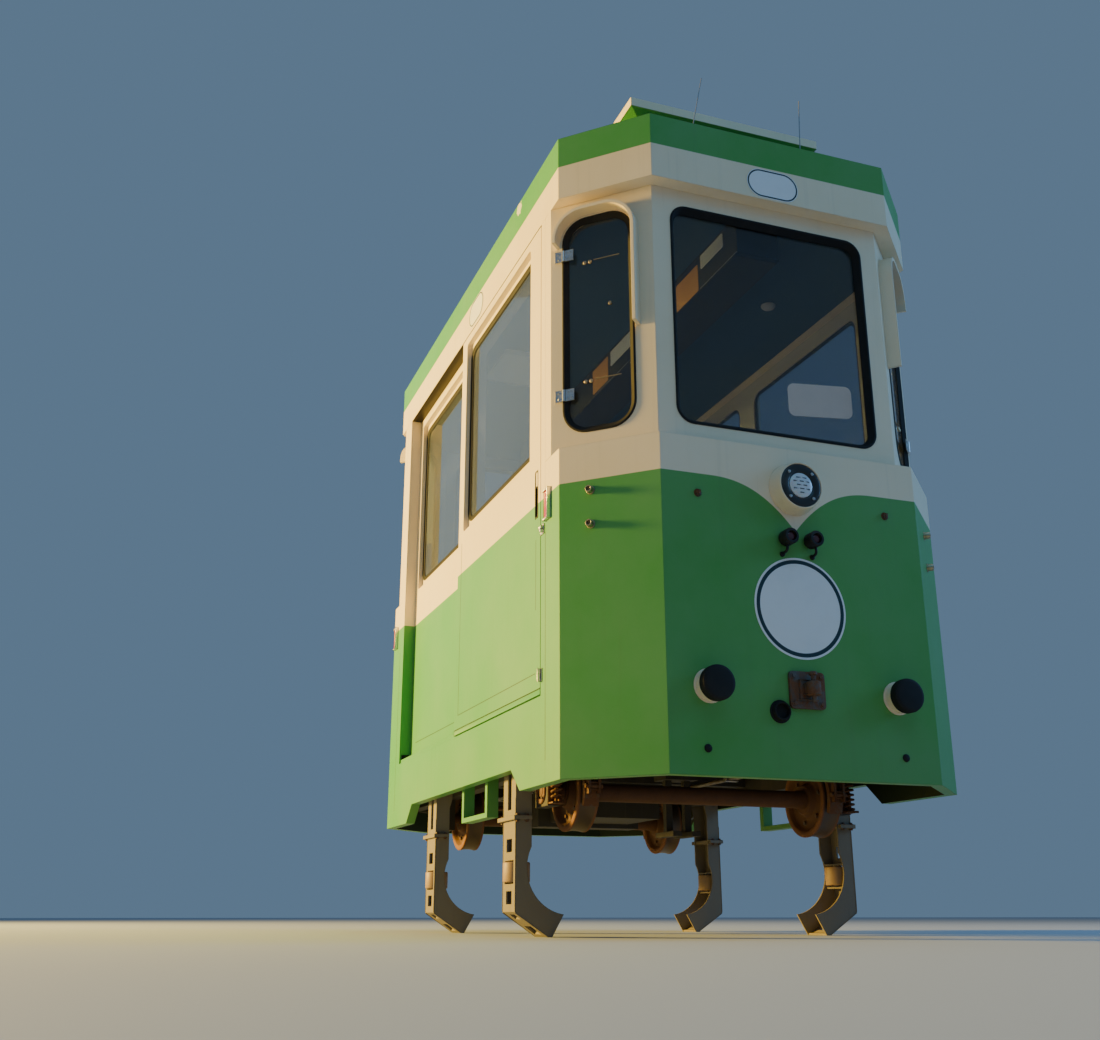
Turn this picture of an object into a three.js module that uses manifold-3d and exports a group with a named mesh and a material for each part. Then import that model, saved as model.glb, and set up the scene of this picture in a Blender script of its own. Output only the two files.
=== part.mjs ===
// Elevated capsule car: a tram-style cabin with a bench, carried on two wheelsets and held by hook arms.
// Millimetres, +X is the driving direction, +Y the car's left, +Z up; the floor plane is z = 0.
import * as THREE from 'three';
import { mergeVertices } from 'three/addons/utils/BufferGeometryUtils.js';
import Module from 'manifold-3d';

const wasm = await Module();
wasm.setup();

// Driving dimensions of the body
const HALF_L = 1575;         // half length of the lower body and cornice
const HALF_W = 800;          // half width of the body
const DIAG = 2100;           // x + y along the lower corner faces
const UP_L = 1515;           // half length of the upper body, set back under the cornice
const UP_DIAG = 2015;        // x + y along the upper corner faces
const WALL = 43;             // wall thickness
const SEAM_X = 1155;         // seam between the end mouldings and the side frames
const SKIRT_Z = 510;         // lower edge of the skirt at the ends
const NOTCH_Z = 595;         // lower edge of the skirt between the hook arms
const NOTCH_IN = 775;        // half length of the raised edge
const NOTCH_OUT = 880;       // where its slopes reach the lower edge
const FLOOR_Z = 760;         // underside of the floor
const FLOOR_T = 50;          // thickness of the floor
const BELT_Z = 1697;         // ledge between lower and upper body
const LEDGE_T = 20;          // thickness of the ledge
const LEDGE_IN = 100;        // reach of the ledge from the outside
const CORNICE_Z = 2744;      // underside of the cornice
const ROOF_Z = 3020;         // top of the cornice
const CORNICE_T = 90;        // thickness of the cornice ring
const ROOF_T = 35;           // thickness of the roof sheet
const GAP = 0.3;             // gap between pieces that touch

// Windows
const WIN_Z0 = 1795;
const WIN_Z1 = 2670;
const WIN_R = 60;
const FRONT_WIN = { half: 421, z0: 1776, z1: 2672, r: 65, inset: 25 };
const QUARTER = { half: 143, mid: 15, z0: 1772, z1: 2668, r: 95, inset: 12 };
const VISOR = { depth: 52, gap: 13, width: 14, legs: [2160, 2560] };
const GLASS_T = 8;
const POCKET = { depth: 24, below: 45, above: 30, r: 20, glass: 6 };  // set-back of the side windows
const OVER = 5;              // how far a cutting tool runs past what it cuts

// Door and doorway
const DOOR_X0 = -32;
const DOOR_X1 = 1100;
const DOOR_Z0 = 850;
const DOOR_Z1 = 2738;
const SILL_Z = 822;          // sill under the door
const SILL_T = 11;
const INSET_Y = 742;         // outer face of the inset rear panel
const INSET_T = 42;
const JAMB_X = -1080;        // rear end of the recess
const DOORWAY_X = 60;        // rear edge of the doorway
const HEADER_Z = 2660;       // top of the doorway
const POST_X = 1106;         // front edge of the doorway
const DOOR_WIN = { x0: 42, x1: 975 };
const REAR_WIN = { x0: -1035, x1: -110 };

// Running gear
const RAIL_Y = 525;          // half gauge
const RAIL_Z = 250;          // height of the tread's centre of curvature
const RAIL_R = 134;          // radius of the hollow tread
const WHEEL_R = 145;
const WHEEL_X = 728;         // half wheelbase
const AXLE_Z = RAIL_Z + RAIL_R + WHEEL_R;
const HOOK_X = 590;          // half distance between the hook arms
const HOOK_W = 150;
const HOOK_Y = 742;          // outer face of the hook arms
const ROLLER_R = 52;
const ROLLER_Y = 712;
const ROLLER_Z = 234;
const ROLLER_H = 75;
const PIN_R = 12;            // standing pin of a guide roller
const JOURNAL_R = 25;
const BEARING_GAP = 0.6;     // running clearance of journals and pins
const ROLLER_ROOM = 5;       // clearance over and under a guide roller
const SOLE_Y = 635;          // centre line of the sole bars
const SOLE_W = 60;

const paint = {
  green: { color: 0x6fa958, roughness: 0.42, metalness: 0 },
  cream: { color: 0xe6d3b0, roughness: 0.45, metalness: 0 },
  steel: { color: 0x6b6459, roughness: 0.7, metalness: 0.4 },
  dark: { color: 0x25262a, roughness: 0.6, metalness: 0.5 },
  wheel: { color: 0x6a4a38, roughness: 0.65, metalness: 0.6 },
  glass: { color: 0x2b333a, roughness: 0.05, metalness: 0 },
  rubber: { color: 0x17181a, roughness: 0.8, metalness: 0 },
  lamp: { color: 0x2a2c2f, roughness: 0.4, metalness: 0.2 },
  liner: { color: 0xc9c4b8, roughness: 0.8, metalness: 0 },
  fabric: { color: 0x57663f, roughness: 0.95, metalness: 0 },
};

const car = new THREE.Group();

// Solids from closed geometries, and back
function solid(geometry) {
  const plain = geometry.index ? geometry.toNonIndexed() : geometry.clone();
  plain.deleteAttribute('normal');
  plain.deleteAttribute('uv');
  const merged = mergeVertices(plain, 0.001);
  return new wasm.Manifold(new wasm.Mesh({
    numProp: 3,
    vertProperties: new Float32Array(merged.attributes.position.array),
    triVerts: new Uint32Array(merged.index.array),
  }));
}

function place(name, body, finish) {
  const mesh = body.getMesh();
  const geometry = new THREE.BufferGeometry();
  geometry.setAttribute('position', new THREE.BufferAttribute(new Float32Array(mesh.vertProperties), 3));
  geometry.setIndex(new THREE.BufferAttribute(new Uint32Array(mesh.triVerts), 1));
  geometry.computeVertexNormals();
  const object = new THREE.Mesh(geometry, new THREE.MeshStandardMaterial(paint[finish]));
  object.name = name;
  car.add(object);
}

function join(...bodies) {
  return bodies.reduce((all, body) => all.add(body));
}

function cut(body, ...tools) {
  return tools.reduce((rest, tool) => rest.subtract(tool), body);
}

// A box between two corners
function box(x0, x1, y0, y1, z0, z1) {
  const geometry = new THREE.BoxGeometry(x1 - x0, y1 - y0, z1 - z0);
  geometry.translate((x0 + x1) / 2, (y0 + y1) / 2, (z0 + z1) / 2);
  return solid(geometry);
}

// A cylinder along x, y or z
function rod(axis, radius, from, to, a, b, sides = 32) {
  const geometry = new THREE.CylinderGeometry(radius, radius, to - from, sides);
  const mid = (from + to) / 2;
  if (axis === 'x') {
    geometry.rotateZ(-Math.PI / 2);
    geometry.translate(mid, a, b);
  } else if (axis === 'y') {
    geometry.translate(a, mid, b);
  } else {
    geometry.rotateX(Math.PI / 2);
    geometry.translate(a, b, mid);
  }
  return solid(geometry);
}

function polygon(points) {
  return new THREE.Shape(points.map(([x, y]) => new THREE.Vector2(x, y)));
}

function rounded(u0, u1, v0, v1, r) {
  const shape = new THREE.Shape();
  shape.moveTo(u0 + r, v0);
  shape.lineTo(u1 - r, v0);
  shape.absarc(u1 - r, v0 + r, r, -Math.PI / 2, 0, false);
  shape.lineTo(u1, v1 - r);
  shape.absarc(u1 - r, v1 - r, r, 0, Math.PI / 2, false);
  shape.lineTo(u0 + r, v1);
  shape.absarc(u0 + r, v1 - r, r, Math.PI / 2, Math.PI, false);
  shape.lineTo(u0, v0 + r);
  shape.absarc(u0 + r, v0 + r, r, Math.PI, 1.5 * Math.PI, false);
  return shape;
}

const EXTRUDE = { bevelEnabled: false, curveSegments: 6 };

// A plan outline raised from z0 to z1
function raise(shape, z0, z1) {
  const geometry = new THREE.ExtrudeGeometry(shape, { ...EXTRUDE, depth: z1 - z0 });
  geometry.translate(0, 0, z0);
  return solid(geometry);
}

// A wall outline in (u, z), thick from n0 to n1 along the direction at angle theta
function wall(shape, theta, n0, n1) {
  const geometry = new THREE.ExtrudeGeometry(shape, { ...EXTRUDE, depth: n1 - n0 });
  geometry.translate(0, 0, n0);
  const out = new THREE.Vector3(Math.cos(theta), Math.sin(theta), 0);
  const up = new THREE.Vector3(0, 0, 1);
  const along = new THREE.Vector3().crossVectors(up, out);
  geometry.applyMatrix4(new THREE.Matrix4().makeBasis(along, up, out));
  return solid(geometry);
}

const RIGHT = -Math.PI / 2;
const LEFT = Math.PI / 2;

// Eight-sided body plan, moved inward by t
function plan(halfL, halfW, diag, t = 0) {
  const l = halfL - t;
  const w = halfW - t;
  const d = diag - t * Math.SQRT2;
  return polygon([
    [l, d - l], [d - w, w], [w - d, w], [-l, d - l],
    [-l, l - d], [w - d, -w], [d - w, -w], [l, l - d],
  ]);
}

function ring(halfL, halfW, diag, t, z0, z1) {
  return cut(raise(plan(halfL, halfW, diag), z0, z1), raise(plan(halfL, halfW, diag, t), z0 - 1, z1 + 1));
}

// A window pane a hair smaller than its opening, its outer face at n
function pane(u0, u1, opening, theta, n) {
  const { z0, z1, r } = opening;
  return wall(rounded(u0 + GAP, u1 - GAP, z0 + GAP, z1 - GAP, r), theta, n - GLASS_T, n);
}

// The set-back, the opening and the pane of a side window whose wall has its outer face at n
function sideWindow(u0, u1, theta, n) {
  const opening = { z0: WIN_Z0, z1: WIN_Z1, r: WIN_R };
  return {
    pocket: wall(
      rounded(u0, u1, WIN_Z0 - POCKET.below, WIN_Z1 + POCKET.above, POCKET.r),
      theta, n - POCKET.depth, n + OVER,
    ),
    hole: wall(rounded(u0, u1, WIN_Z0, WIN_Z1, WIN_R), theta, n - WALL - OVER, n + OVER),
    glass: pane(u0, u1, opening, theta, n - POCKET.depth - POCKET.glass),
  };
}

// End mouldings, the same at the front and the rear
const ends = [
  { name: 'front', dir: 1 },
  { name: 'rear', dir: -1 },
];
const CORNER_N = UP_DIAG / Math.SQRT2;
const CORNER_U = (UP_L - HALF_W) / Math.SQRT2;

// Raised hood round the top of a quarter window, with its short leg on the side of the body;
// hand is 1 at the front left and rear right corners, -1 at the other two
function visor(theta, m, hand) {
  const { half, z1, r } = QUARTER;
  const [longEnd, shortEnd] = VISOR.legs;
  const foot = longEnd - 300;
  const hood = (d) => rounded(m - half - d, m + half + d, foot, z1 + d, r + d);
  const front = CORNER_N + VISOR.depth;
  const band = cut(
    wall(hood(VISOR.gap + VISOR.width), theta, CORNER_N - OVER, front),
    wall(hood(VISOR.gap), theta, CORNER_N - 2 * OVER, front + OVER),
  );
  const reach = 400;
  const below = (u0, u1, z) => wall(
    rounded(u0, u1, foot - 100, z, 1), theta, CORNER_N - 2 * OVER, front + OVER,
  );
  return hand > 0
    ? cut(band, below(m, m + reach, shortEnd), below(m - reach, m, longEnd))
    : cut(band, below(m - reach, m, shortEnd), below(m, m + reach, longEnd));
}

for (const { name, dir } of ends) {
  const keep = dir > 0
    ? box(SEAM_X, HALF_L + 100, -HALF_W - 100, HALF_W + 100, 0, ROOF_Z)
    : box(-HALF_L - 100, -SEAM_X, -HALF_W - 100, HALF_W + 100, 0, ROOF_Z);
  const lower = join(
    ring(HALF_L, HALF_W, DIAG, WALL, SKIRT_Z, BELT_Z),
    ring(HALF_L, HALF_W, DIAG, LEDGE_IN, BELT_Z - LEDGE_T, BELT_Z),
  ).intersect(keep);
  place(`${name}_lower_moulding`, lower, 'green');

  const theta = dir > 0 ? 0 : Math.PI;
  const w = FRONT_WIN;
  const tube = ring(UP_L, HALF_W, UP_DIAG, WALL, BELT_Z + GAP, CORNICE_Z - GAP).intersect(keep);
  const endOpening = rounded(-w.half, w.half, w.z0, w.z1, w.r);
  let upper = cut(tube, wall(endOpening, theta, UP_L - WALL - OVER, UP_L + OVER));
  place(`${name}_window`, pane(-w.half, w.half, w, theta, UP_L - w.inset), 'glass');
  for (const side of [1, -1]) {
    const corner = Math.atan2(side, dir);
    const hand = side * dir;
    const q = QUARTER;
    const m = (q.mid - CORNER_U) * hand;
    const opening = rounded(m - q.half, m + q.half, q.z0, q.z1, q.r);
    upper = cut(upper, wall(opening, corner, CORNER_N - WALL - OVER, CORNER_N + OVER));
    upper = join(upper, visor(corner, m, hand));
    const quarter = pane(m - q.half, m + q.half, q, corner, CORNER_N - q.inset);
    place(`${name}_quarter_window_${side > 0 ? 'left' : 'right'}`, quarter, 'glass');
  }
  place(`${name}_upper_moulding`, upper, 'cream');
}

// Side frames between the end mouldings
const SIDE_X = SEAM_X - GAP;

function skirtOutline(top) {
  return polygon([
    [-SIDE_X, SKIRT_Z], [-NOTCH_OUT, SKIRT_Z], [-NOTCH_IN, NOTCH_Z], [NOTCH_IN, NOTCH_Z],
    [NOTCH_OUT, SKIRT_Z], [SIDE_X, SKIRT_Z], [SIDE_X, top], [-SIDE_X, top],
  ]);
}

const rightFrame = join(
  wall(skirtOutline(SILL_Z), RIGHT, HALF_W - WALL, HALF_W),
  box(-SIDE_X, SIDE_X, -HALF_W, -INSET_Y + INSET_T, SILL_Z - SILL_T, SILL_Z),
  box(-SIDE_X, DOORWAY_X, -INSET_Y, -INSET_Y + INSET_T, SILL_Z, CORNICE_Z - GAP),
  box(-SIDE_X, JAMB_X, -HALF_W, -INSET_Y + INSET_T, SILL_Z, CORNICE_Z - GAP),
  box(POST_X, SIDE_X, -HALF_W, -INSET_Y + INSET_T, SILL_Z, CORNICE_Z - GAP),
  box(DOORWAY_X - 20, POST_X + 20, -INSET_Y, -INSET_Y + INSET_T, HEADER_Z, CORNICE_Z - GAP),
);
const insetWindow = sideWindow(REAR_WIN.x0, REAR_WIN.x1, RIGHT, INSET_Y);
place('right_side_frame', cut(rightFrame, insetWindow.pocket, insetWindow.hole), 'green');
place('right_rear_window', insetWindow.glass, 'glass');

let leftFrame = wall(skirtOutline(CORNICE_Z - GAP), LEFT, HALF_W - WALL, HALF_W);
const leftWindows = [
  { name: 'left_front_window', x0: DOOR_WIN.x0, x1: DOOR_WIN.x1 },
  { name: 'left_rear_window', x0: REAR_WIN.x0, x1: REAR_WIN.x1 },
];
for (const { name, x0, x1 } of leftWindows) {
  const window = sideWindow(-x1, -x0, LEFT, HALF_W);
  leftFrame = cut(leftFrame, window.pocket, window.hole);
  place(name, window.glass, 'glass');
}
place('left_side_frame', leftFrame, 'green');

// Sliding door on its sill rail
const DOOR_RAIL = { out: HALF_W - 8, in: HALF_W - 32, top: 842 };
const SHOES = { starts: [120, 920], length: 60, inset: 2, play: 0.4 };
const doorLeaf = wall(rounded(DOOR_X0, DOOR_X1, DOOR_Z0, DOOR_Z1, 6), RIGHT, HALF_W - WALL, HALF_W);
const doorWindow = sideWindow(DOOR_WIN.x0, DOOR_WIN.x1, RIGHT, HALF_W);
const PULL = { x0: 1040, x1: 1075, z0: 1502, z1: 1693, depth: 25 };   // recess for the fingers
const fingerPull = box(PULL.x0, PULL.x1, -HALF_W - OVER, -HALF_W + PULL.depth, PULL.z0, PULL.z1);
const shoes = SHOES.starts.map((x) => box(
  x, x + SHOES.length, -DOOR_RAIL.out + SHOES.inset, -DOOR_RAIL.in - SHOES.inset,
  DOOR_RAIL.top + SHOES.play, DOOR_Z0 + 1,
));
const cutLeaf = cut(doorLeaf, doorWindow.pocket, doorWindow.hole, fingerPull);
place('sliding_door', join(cutLeaf, ...shoes), 'green');
place('door_window', doorWindow.glass, 'glass');
place('door_rail', box(
  JAMB_X + GAP, POST_X - GAP, -DOOR_RAIL.out, -DOOR_RAIL.in, SILL_Z + GAP, DOOR_RAIL.top,
), 'steel');

// Cornice and roof in one, its liner, the roof box and two whip aerials
place('roof_shell', join(
  ring(HALF_L, HALF_W, DIAG, CORNICE_T, CORNICE_Z, ROOF_Z),
  raise(plan(HALF_L, HALF_W, DIAG), ROOF_Z - ROOF_T, ROOF_Z),
), 'green');
const LINER_T = 15;
place('ceiling_liner', raise(
  plan(HALF_L, HALF_W, DIAG, CORNICE_T + GAP), CORNICE_Z, CORNICE_Z + LINER_T,
), 'liner');

const LID = { halfL: 1240, halfW: 450, z0: 3315, z1: 3355 };
const CAN = { halfL: 1165, halfW: 374, wall: 30, top: 3297 };
const VENT = { half: 235, z0: 3135, z1: 3265, r: 62, depth: 14 };   // blind slots in its ends

function frustum(l0, w0, z0, l1, w1, z1) {
  const c = [[1, 1], [-1, 1], [-1, -1], [1, -1]];
  const p = [...c.map(([i, j]) => [i * l0, j * w0, z0]), ...c.map(([i, j]) => [i * l1, j * w1, z1])];
  const faces = [
    [0, 3, 2], [0, 2, 1], [4, 5, 6], [4, 6, 7], [0, 1, 5], [0, 5, 4],
    [1, 2, 6], [1, 6, 5], [2, 3, 7], [2, 7, 6], [3, 0, 4], [3, 4, 7],
  ];
  const geometry = new THREE.BufferGeometry();
  geometry.setAttribute('position', new THREE.Float32BufferAttribute(p.flat(), 3));
  geometry.setIndex(faces.flat());
  return solid(geometry);
}

let roofBox = join(
  box(-CAN.halfL, CAN.halfL, -CAN.halfW, CAN.halfW, ROOF_Z + GAP, CAN.top + 1),
  frustum(CAN.halfL, CAN.halfW, CAN.top, LID.halfL, LID.halfW, LID.z0 + 1),
  box(-LID.halfL, LID.halfL, -LID.halfW, LID.halfW, LID.z0, LID.z1),
);
const t = CAN.wall;
const ventOutline = rounded(-VENT.half, VENT.half, VENT.z0, VENT.z1, VENT.r);
roofBox = cut(
  roofBox,
  box(-CAN.halfL + t, CAN.halfL - t, -CAN.halfW + t, CAN.halfW - t, ROOF_Z - OVER, CAN.top),
  wall(ventOutline, 0, CAN.halfL - VENT.depth, CAN.halfL + OVER),
  wall(ventOutline, Math.PI, CAN.halfL - VENT.depth, CAN.halfL + OVER),
);
place('roof_box', roofBox, 'green');

const AERIAL_X = 1375;
const aerials = [
  { name: 'aerial_left', y: 265, lean: 0.05 },
  { name: 'aerial_right', y: -265, lean: 0.2 },
];
for (const { name, y, lean } of aerials) {
  const whip = new THREE.CylinderGeometry(2, 3, 400, 10);
  whip.rotateX(Math.PI / 2);
  whip.translate(0, 0, 210);
  whip.rotateX(-lean);
  whip.translate(AERIAL_X, y, ROOF_Z + GAP);
  place(name, join(rod('z', 14, ROOF_Z + GAP, ROOF_Z + 28, AERIAL_X, y, 16), solid(whip)), 'rubber');
}

// Floor and underframe
place('floor', raise(plan(HALF_L, HALF_W, DIAG, WALL + GAP), FLOOR_Z, FLOOR_Z + FLOOR_T), 'dark');

const soleTop = FLOOR_Z - GAP;
const SOLE_Z0 = 610;
const CROSS = { middles: [-1080, -400, 0, 400, 1080], half: 30, z0: 650 };
const HEADSTOCK = { in: 1390, out: 1500 };
const AXLE_BOX = { halfL: 70, halfW: 25, below: 60 };

// The span between a and b on the side that s gives, in rising order
const span = (s, a, b) => [Math.min(s * a, s * b), Math.max(s * a, s * b)];

const soleBars = [1, -1].map((s) => box(
  -HEADSTOCK.out + 20, HEADSTOCK.out - 20, ...span(s, SOLE_Y - SOLE_W / 2, SOLE_Y + SOLE_W / 2),
  SOLE_Z0, soleTop,
));
const crossBars = CROSS.middles.map((x) => box(
  x - CROSS.half, x + CROSS.half, -SOLE_Y, SOLE_Y, CROSS.z0, soleTop,
));
const headstocks = [1, -1].map((d) => box(
  ...span(d, HEADSTOCK.in, HEADSTOCK.out), -SOLE_Y, SOLE_Y, SOLE_Z0, soleTop,
));
const axleBoxes = [];
const bores = [];
for (const x of [WHEEL_X, -WHEEL_X]) {
  for (const s of [1, -1]) {
    const [y0, y1] = span(s, SOLE_Y - AXLE_BOX.halfW, SOLE_Y + AXLE_BOX.halfW);
    axleBoxes.push(box(
      x - AXLE_BOX.halfL, x + AXLE_BOX.halfL, y0, y1, AXLE_Z - AXLE_BOX.below, SOLE_Z0 + 1,
    ));
    bores.push(rod('y', JOURNAL_R + BEARING_GAP, y0 - OVER, y1 + OVER, x, AXLE_Z, 32));
  }
}
const insideSkirt = raise(plan(HALF_L, HALF_W, DIAG, WALL + 4), 0, ROOF_Z);
place('underframe', cut(
  join(...soleBars, ...crossBars, ...headstocks, ...axleBoxes).intersect(insideSkirt), ...bores,
), 'dark');

// Wheelsets: two flanged wheels with hollow treads on one axle
function wheelProfile() {
  const tread = [];
  const steps = 4;
  const treadHalf = 36;
  for (let i = 0; i <= steps; i += 1) {
    const v = -treadHalf + (2 * treadHalf * i) / steps;
    const dip = Math.sqrt(RAIL_R * RAIL_R - v * v);
    tread.push(new THREE.Vector2(WHEEL_R + RAIL_R - dip, v));
  }
  return [
    new THREE.Vector2(JOURNAL_R + 12, -45), new THREE.Vector2(60, -45), new THREE.Vector2(70, -22),
    new THREE.Vector2(118, -22), new THREE.Vector2(126, -42), new THREE.Vector2(150, -42), ...tread,
    new THREE.Vector2(150, 42), new THREE.Vector2(126, 42), new THREE.Vector2(118, 22),
    new THREE.Vector2(70, 22), new THREE.Vector2(60, 45), new THREE.Vector2(JOURNAL_R + 12, 45),
    new THREE.Vector2(JOURNAL_R + 12, -45),
  ];
}
const wheelsets = [
  { name: 'front_wheelset', x: WHEEL_X },
  { name: 'rear_wheelset', x: -WHEEL_X },
];
for (const { name, x } of wheelsets) {
  const parts = [
    rod('y', JOURNAL_R, -SOLE_Y - 30, SOLE_Y + 30, x, AXLE_Z, 32),
    rod('y', JOURNAL_R + 14, -RAIL_Y - 50, RAIL_Y + 50, x, AXLE_Z, 32),
  ];
  for (const y of [RAIL_Y, -RAIL_Y]) {
    const wheel = new THREE.LatheGeometry(wheelProfile(), 36);
    wheel.translate(x, y, AXLE_Z);
    parts.push(solid(wheel));
  }
  place(name, join(...parts), 'wheel');
}

// Hook arms, each with a guide roller on a standing pin
const hooks = [
  { name: 'front_left', x: HOOK_X, s: 1 },
  { name: 'front_right', x: HOOK_X, s: -1 },
  { name: 'rear_left', x: -HOOK_X, s: 1 },
  { name: 'rear_right', x: -HOOK_X, s: -1 },
];
const PLATE = 8;
const HOOK_TOP = 700;
const MOUTH_R = RAIL_R + 36; // round mouth of a hook
const NECK = { y: 677, z0: 300, z1: 560, top: 600 };   // inner edge of an arm above its mouth
const CLAMP = { z0: 424, z1: 440, in: HOOK_Y - 60, out: HOOK_Y + 12, ahead: 20, behind: 40 };
// Openings in the outer plate of a hook: half width, lower and upper edge
const SLOTS = [
  { half: 21, z0: 465, z1: 620 },
  { half: 33, z0: 308, z1: 356 },
  { half: 33, z0: 118, z1: 165 },
];
// Openings in the sloping foot of a hook: half width, and the span across
const FOOT_HOLES = [
  { half: 28, y0: 704, y1: 728 },
  { half: 36, y0: 624, y1: 666 },
];
const FOOT_HOLE_TOP = 110;   // above the sloping foot, below everything else in the arm
const ARM_IN = SOLE_Y + SOLE_W / 2 + GAP;
const BOSS_R = 17;           // thrust bosses at the ends of a guide roller
const ROLLER_ROOM_X = 54;    // half width of the window that the roller stands in
const FOOT_END = 594;        // inner end of the flat foot
const rollerFoot = ROLLER_Z - ROLLER_H / 2;
const rollerTop = ROLLER_Z + ROLLER_H / 2;

// An outline in (y, z), thick from x0 to x1
function acrossX(outline, x0, x1) {
  const geometry = new THREE.ExtrudeGeometry(polygon(outline), { ...EXTRUDE, depth: x1 - x0 });
  geometry.applyMatrix4(new THREE.Matrix4().makeBasis(
    new THREE.Vector3(0, 1, 0), new THREE.Vector3(0, 0, 1), new THREE.Vector3(1, 0, 0),
  ));
  geometry.translate(x0, 0, 0);
  return solid(geometry);
}

function hookPlate(s, x0, x1) {
  const outline = [
    [HOOK_Y, HOOK_TOP], [HOOK_Y, 90], [610, 0], [FOOT_END, 0], [546, 84], [600, 200],
    [NECK.y, NECK.z0], [NECK.y, NECK.z1], [ARM_IN, NECK.top], [ARM_IN, HOOK_TOP],
  ];
  const mouth = rod('x', MOUTH_R, x0 - OVER, x1 + OVER, RAIL_Y, RAIL_Z, 72);
  const plate = cut(acrossX(outline, x0, x1), mouth);
  return s > 0 ? plate : plate.mirror([0, 1, 0]);
}

function hookSkin(s, x0, x1) {
  const outline = [
    [HOOK_Y, HOOK_TOP], [HOOK_Y, 90], [610, 0], [FOOT_END, 0], [FOOT_END, PLATE],
    [608, PLATE + 2], [HOOK_Y - PLATE, 95], [HOOK_Y - PLATE, HOOK_TOP],
  ];
  const skin = acrossX(outline, x0, x1);
  return s > 0 ? skin : skin.mirror([0, 1, 0]);
}

for (const { name, x, s } of hooks) {
  const x0 = x - HOOK_W / 2;
  const x1 = x + HOOK_W / 2;
  const shelf = (z) => box(x0, x1, ...span(s, RAIL_Y + MOUTH_R, HOOK_Y), z, z + PLATE);
  const arm = join(
    hookPlate(s, x0, x0 + PLATE),
    hookPlate(s, x1 - PLATE, x1),
    hookSkin(s, x0, x1),
    shelf(rollerTop + ROLLER_ROOM),
    shelf(rollerFoot - ROLLER_ROOM - PLATE),
    box(x0 - CLAMP.behind, x1 + CLAMP.ahead, ...span(s, CLAMP.in, CLAMP.out), CLAMP.z0, CLAMP.z1),
    rod('z', PIN_R, rollerFoot - ROLLER_ROOM - 4, rollerTop + ROLLER_ROOM + 4, x, s * ROLLER_Y, 24),
    rod('z', BOSS_R, rollerTop + BEARING_GAP, rollerTop + ROLLER_ROOM + 1, x, s * ROLLER_Y, 24),
    rod('z', BOSS_R, rollerFoot - ROLLER_ROOM - 1, rollerFoot - BEARING_GAP, x, s * ROLLER_Y, 24),
  );
  const web = span(s, HOOK_Y - PLATE - 2, HOOK_Y + 2);
  place(`hook_arm_${name}`, cut(
    arm,
    box(x - ROLLER_ROOM_X, x + ROLLER_ROOM_X, ...web, rollerFoot - ROLLER_ROOM, rollerTop + ROLLER_ROOM),
    ...SLOTS.map(({ half, z0, z1 }) => box(x - half, x + half, ...web, z0, z1)),
    ...FOOT_HOLES.map(({ half, y0, y1 }) => box(
      x - half, x + half, ...span(s, y0, y1), -OVER, FOOT_HOLE_TOP,
    )),
  ), 'steel');
  place(`guide_roller_${name}`, cut(
    rod('z', ROLLER_R, rollerFoot, rollerTop, x, s * ROLLER_Y, 40),
    rod('z', PIN_R + BEARING_GAP, rollerFoot - OVER, rollerTop + OVER, x, s * ROLLER_Y, 24),
  ), 'liner');
}

// Jacking frames under the skirt notch, each hung from a deeper head against the sole bar
const JACKING = { x0: -30, x1: 340, z0: 455, z1: 700, bar: 30, sill: 20, head: 60, depth: 48 };
for (const s of [1, -1]) {
  const { x0, x1, z0, z1, bar, sill, head, depth } = JACKING;
  const outer = HALF_W - WALL - GAP;
  const [y0, y1] = span(s, ARM_IN, outer);
  const frame = cut(
    box(x0, x1, y0, y1, z0, z1),
    box(x0 + bar, x1 - bar, y0 - OVER, y1 + OVER, z0 + sill, z1 - head),
    box(x0 - OVER, x1 + OVER, ...span(s, ARM_IN - OVER, outer - depth), z0 - OVER, z1 - head),
  );
  place(`jacking_frame_${s > 0 ? 'left' : 'right'}`, frame, 'green');
}

// Drive unit and current collector
const GEARBOX = { x0: -560, x1: -439, halfW: 260, z0: 480 };
const MOTOR = { x0: -440, x1: -60, halfW: 200, z0: 500 };
const crossX = CROSS.middles[1];
place('drive_unit', cut(
  join(
    box(GEARBOX.x0, GEARBOX.x1, -GEARBOX.halfW, GEARBOX.halfW, GEARBOX.z0, soleTop),
    box(MOTOR.x0, MOTOR.x1, -MOTOR.halfW, MOTOR.halfW, MOTOR.z0, soleTop),
  ),
  box(crossX - CROSS.half - GAP, crossX + CROSS.half + GAP, -HALF_W, HALF_W, CROSS.z0 - GAP, soleTop + 1),
), 'dark');

const COLLECTOR = { x: 250, y0: 60, y1: 220, z0: 640, arms: [95, 185], armHalf: 15, foot: 400, padHalf: 90 };
const { x: collectorX, armHalf, padHalf } = COLLECTOR;
place('current_collector', join(
  box(collectorX - 60, collectorX + 60, COLLECTOR.y0, COLLECTOR.y1, COLLECTOR.z0, soleTop),
  ...COLLECTOR.arms.map((y) => box(
    collectorX - armHalf, collectorX + armHalf, y - armHalf, y + armHalf,
    COLLECTOR.foot + 20, COLLECTOR.z0 + 1,
  )),
  ...COLLECTOR.arms.map((y) => box(
    collectorX - padHalf, collectorX + padHalf, y - 20, y + 20, COLLECTOR.foot, COLLECTOR.foot + 21,
  )),
), 'dark');

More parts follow.
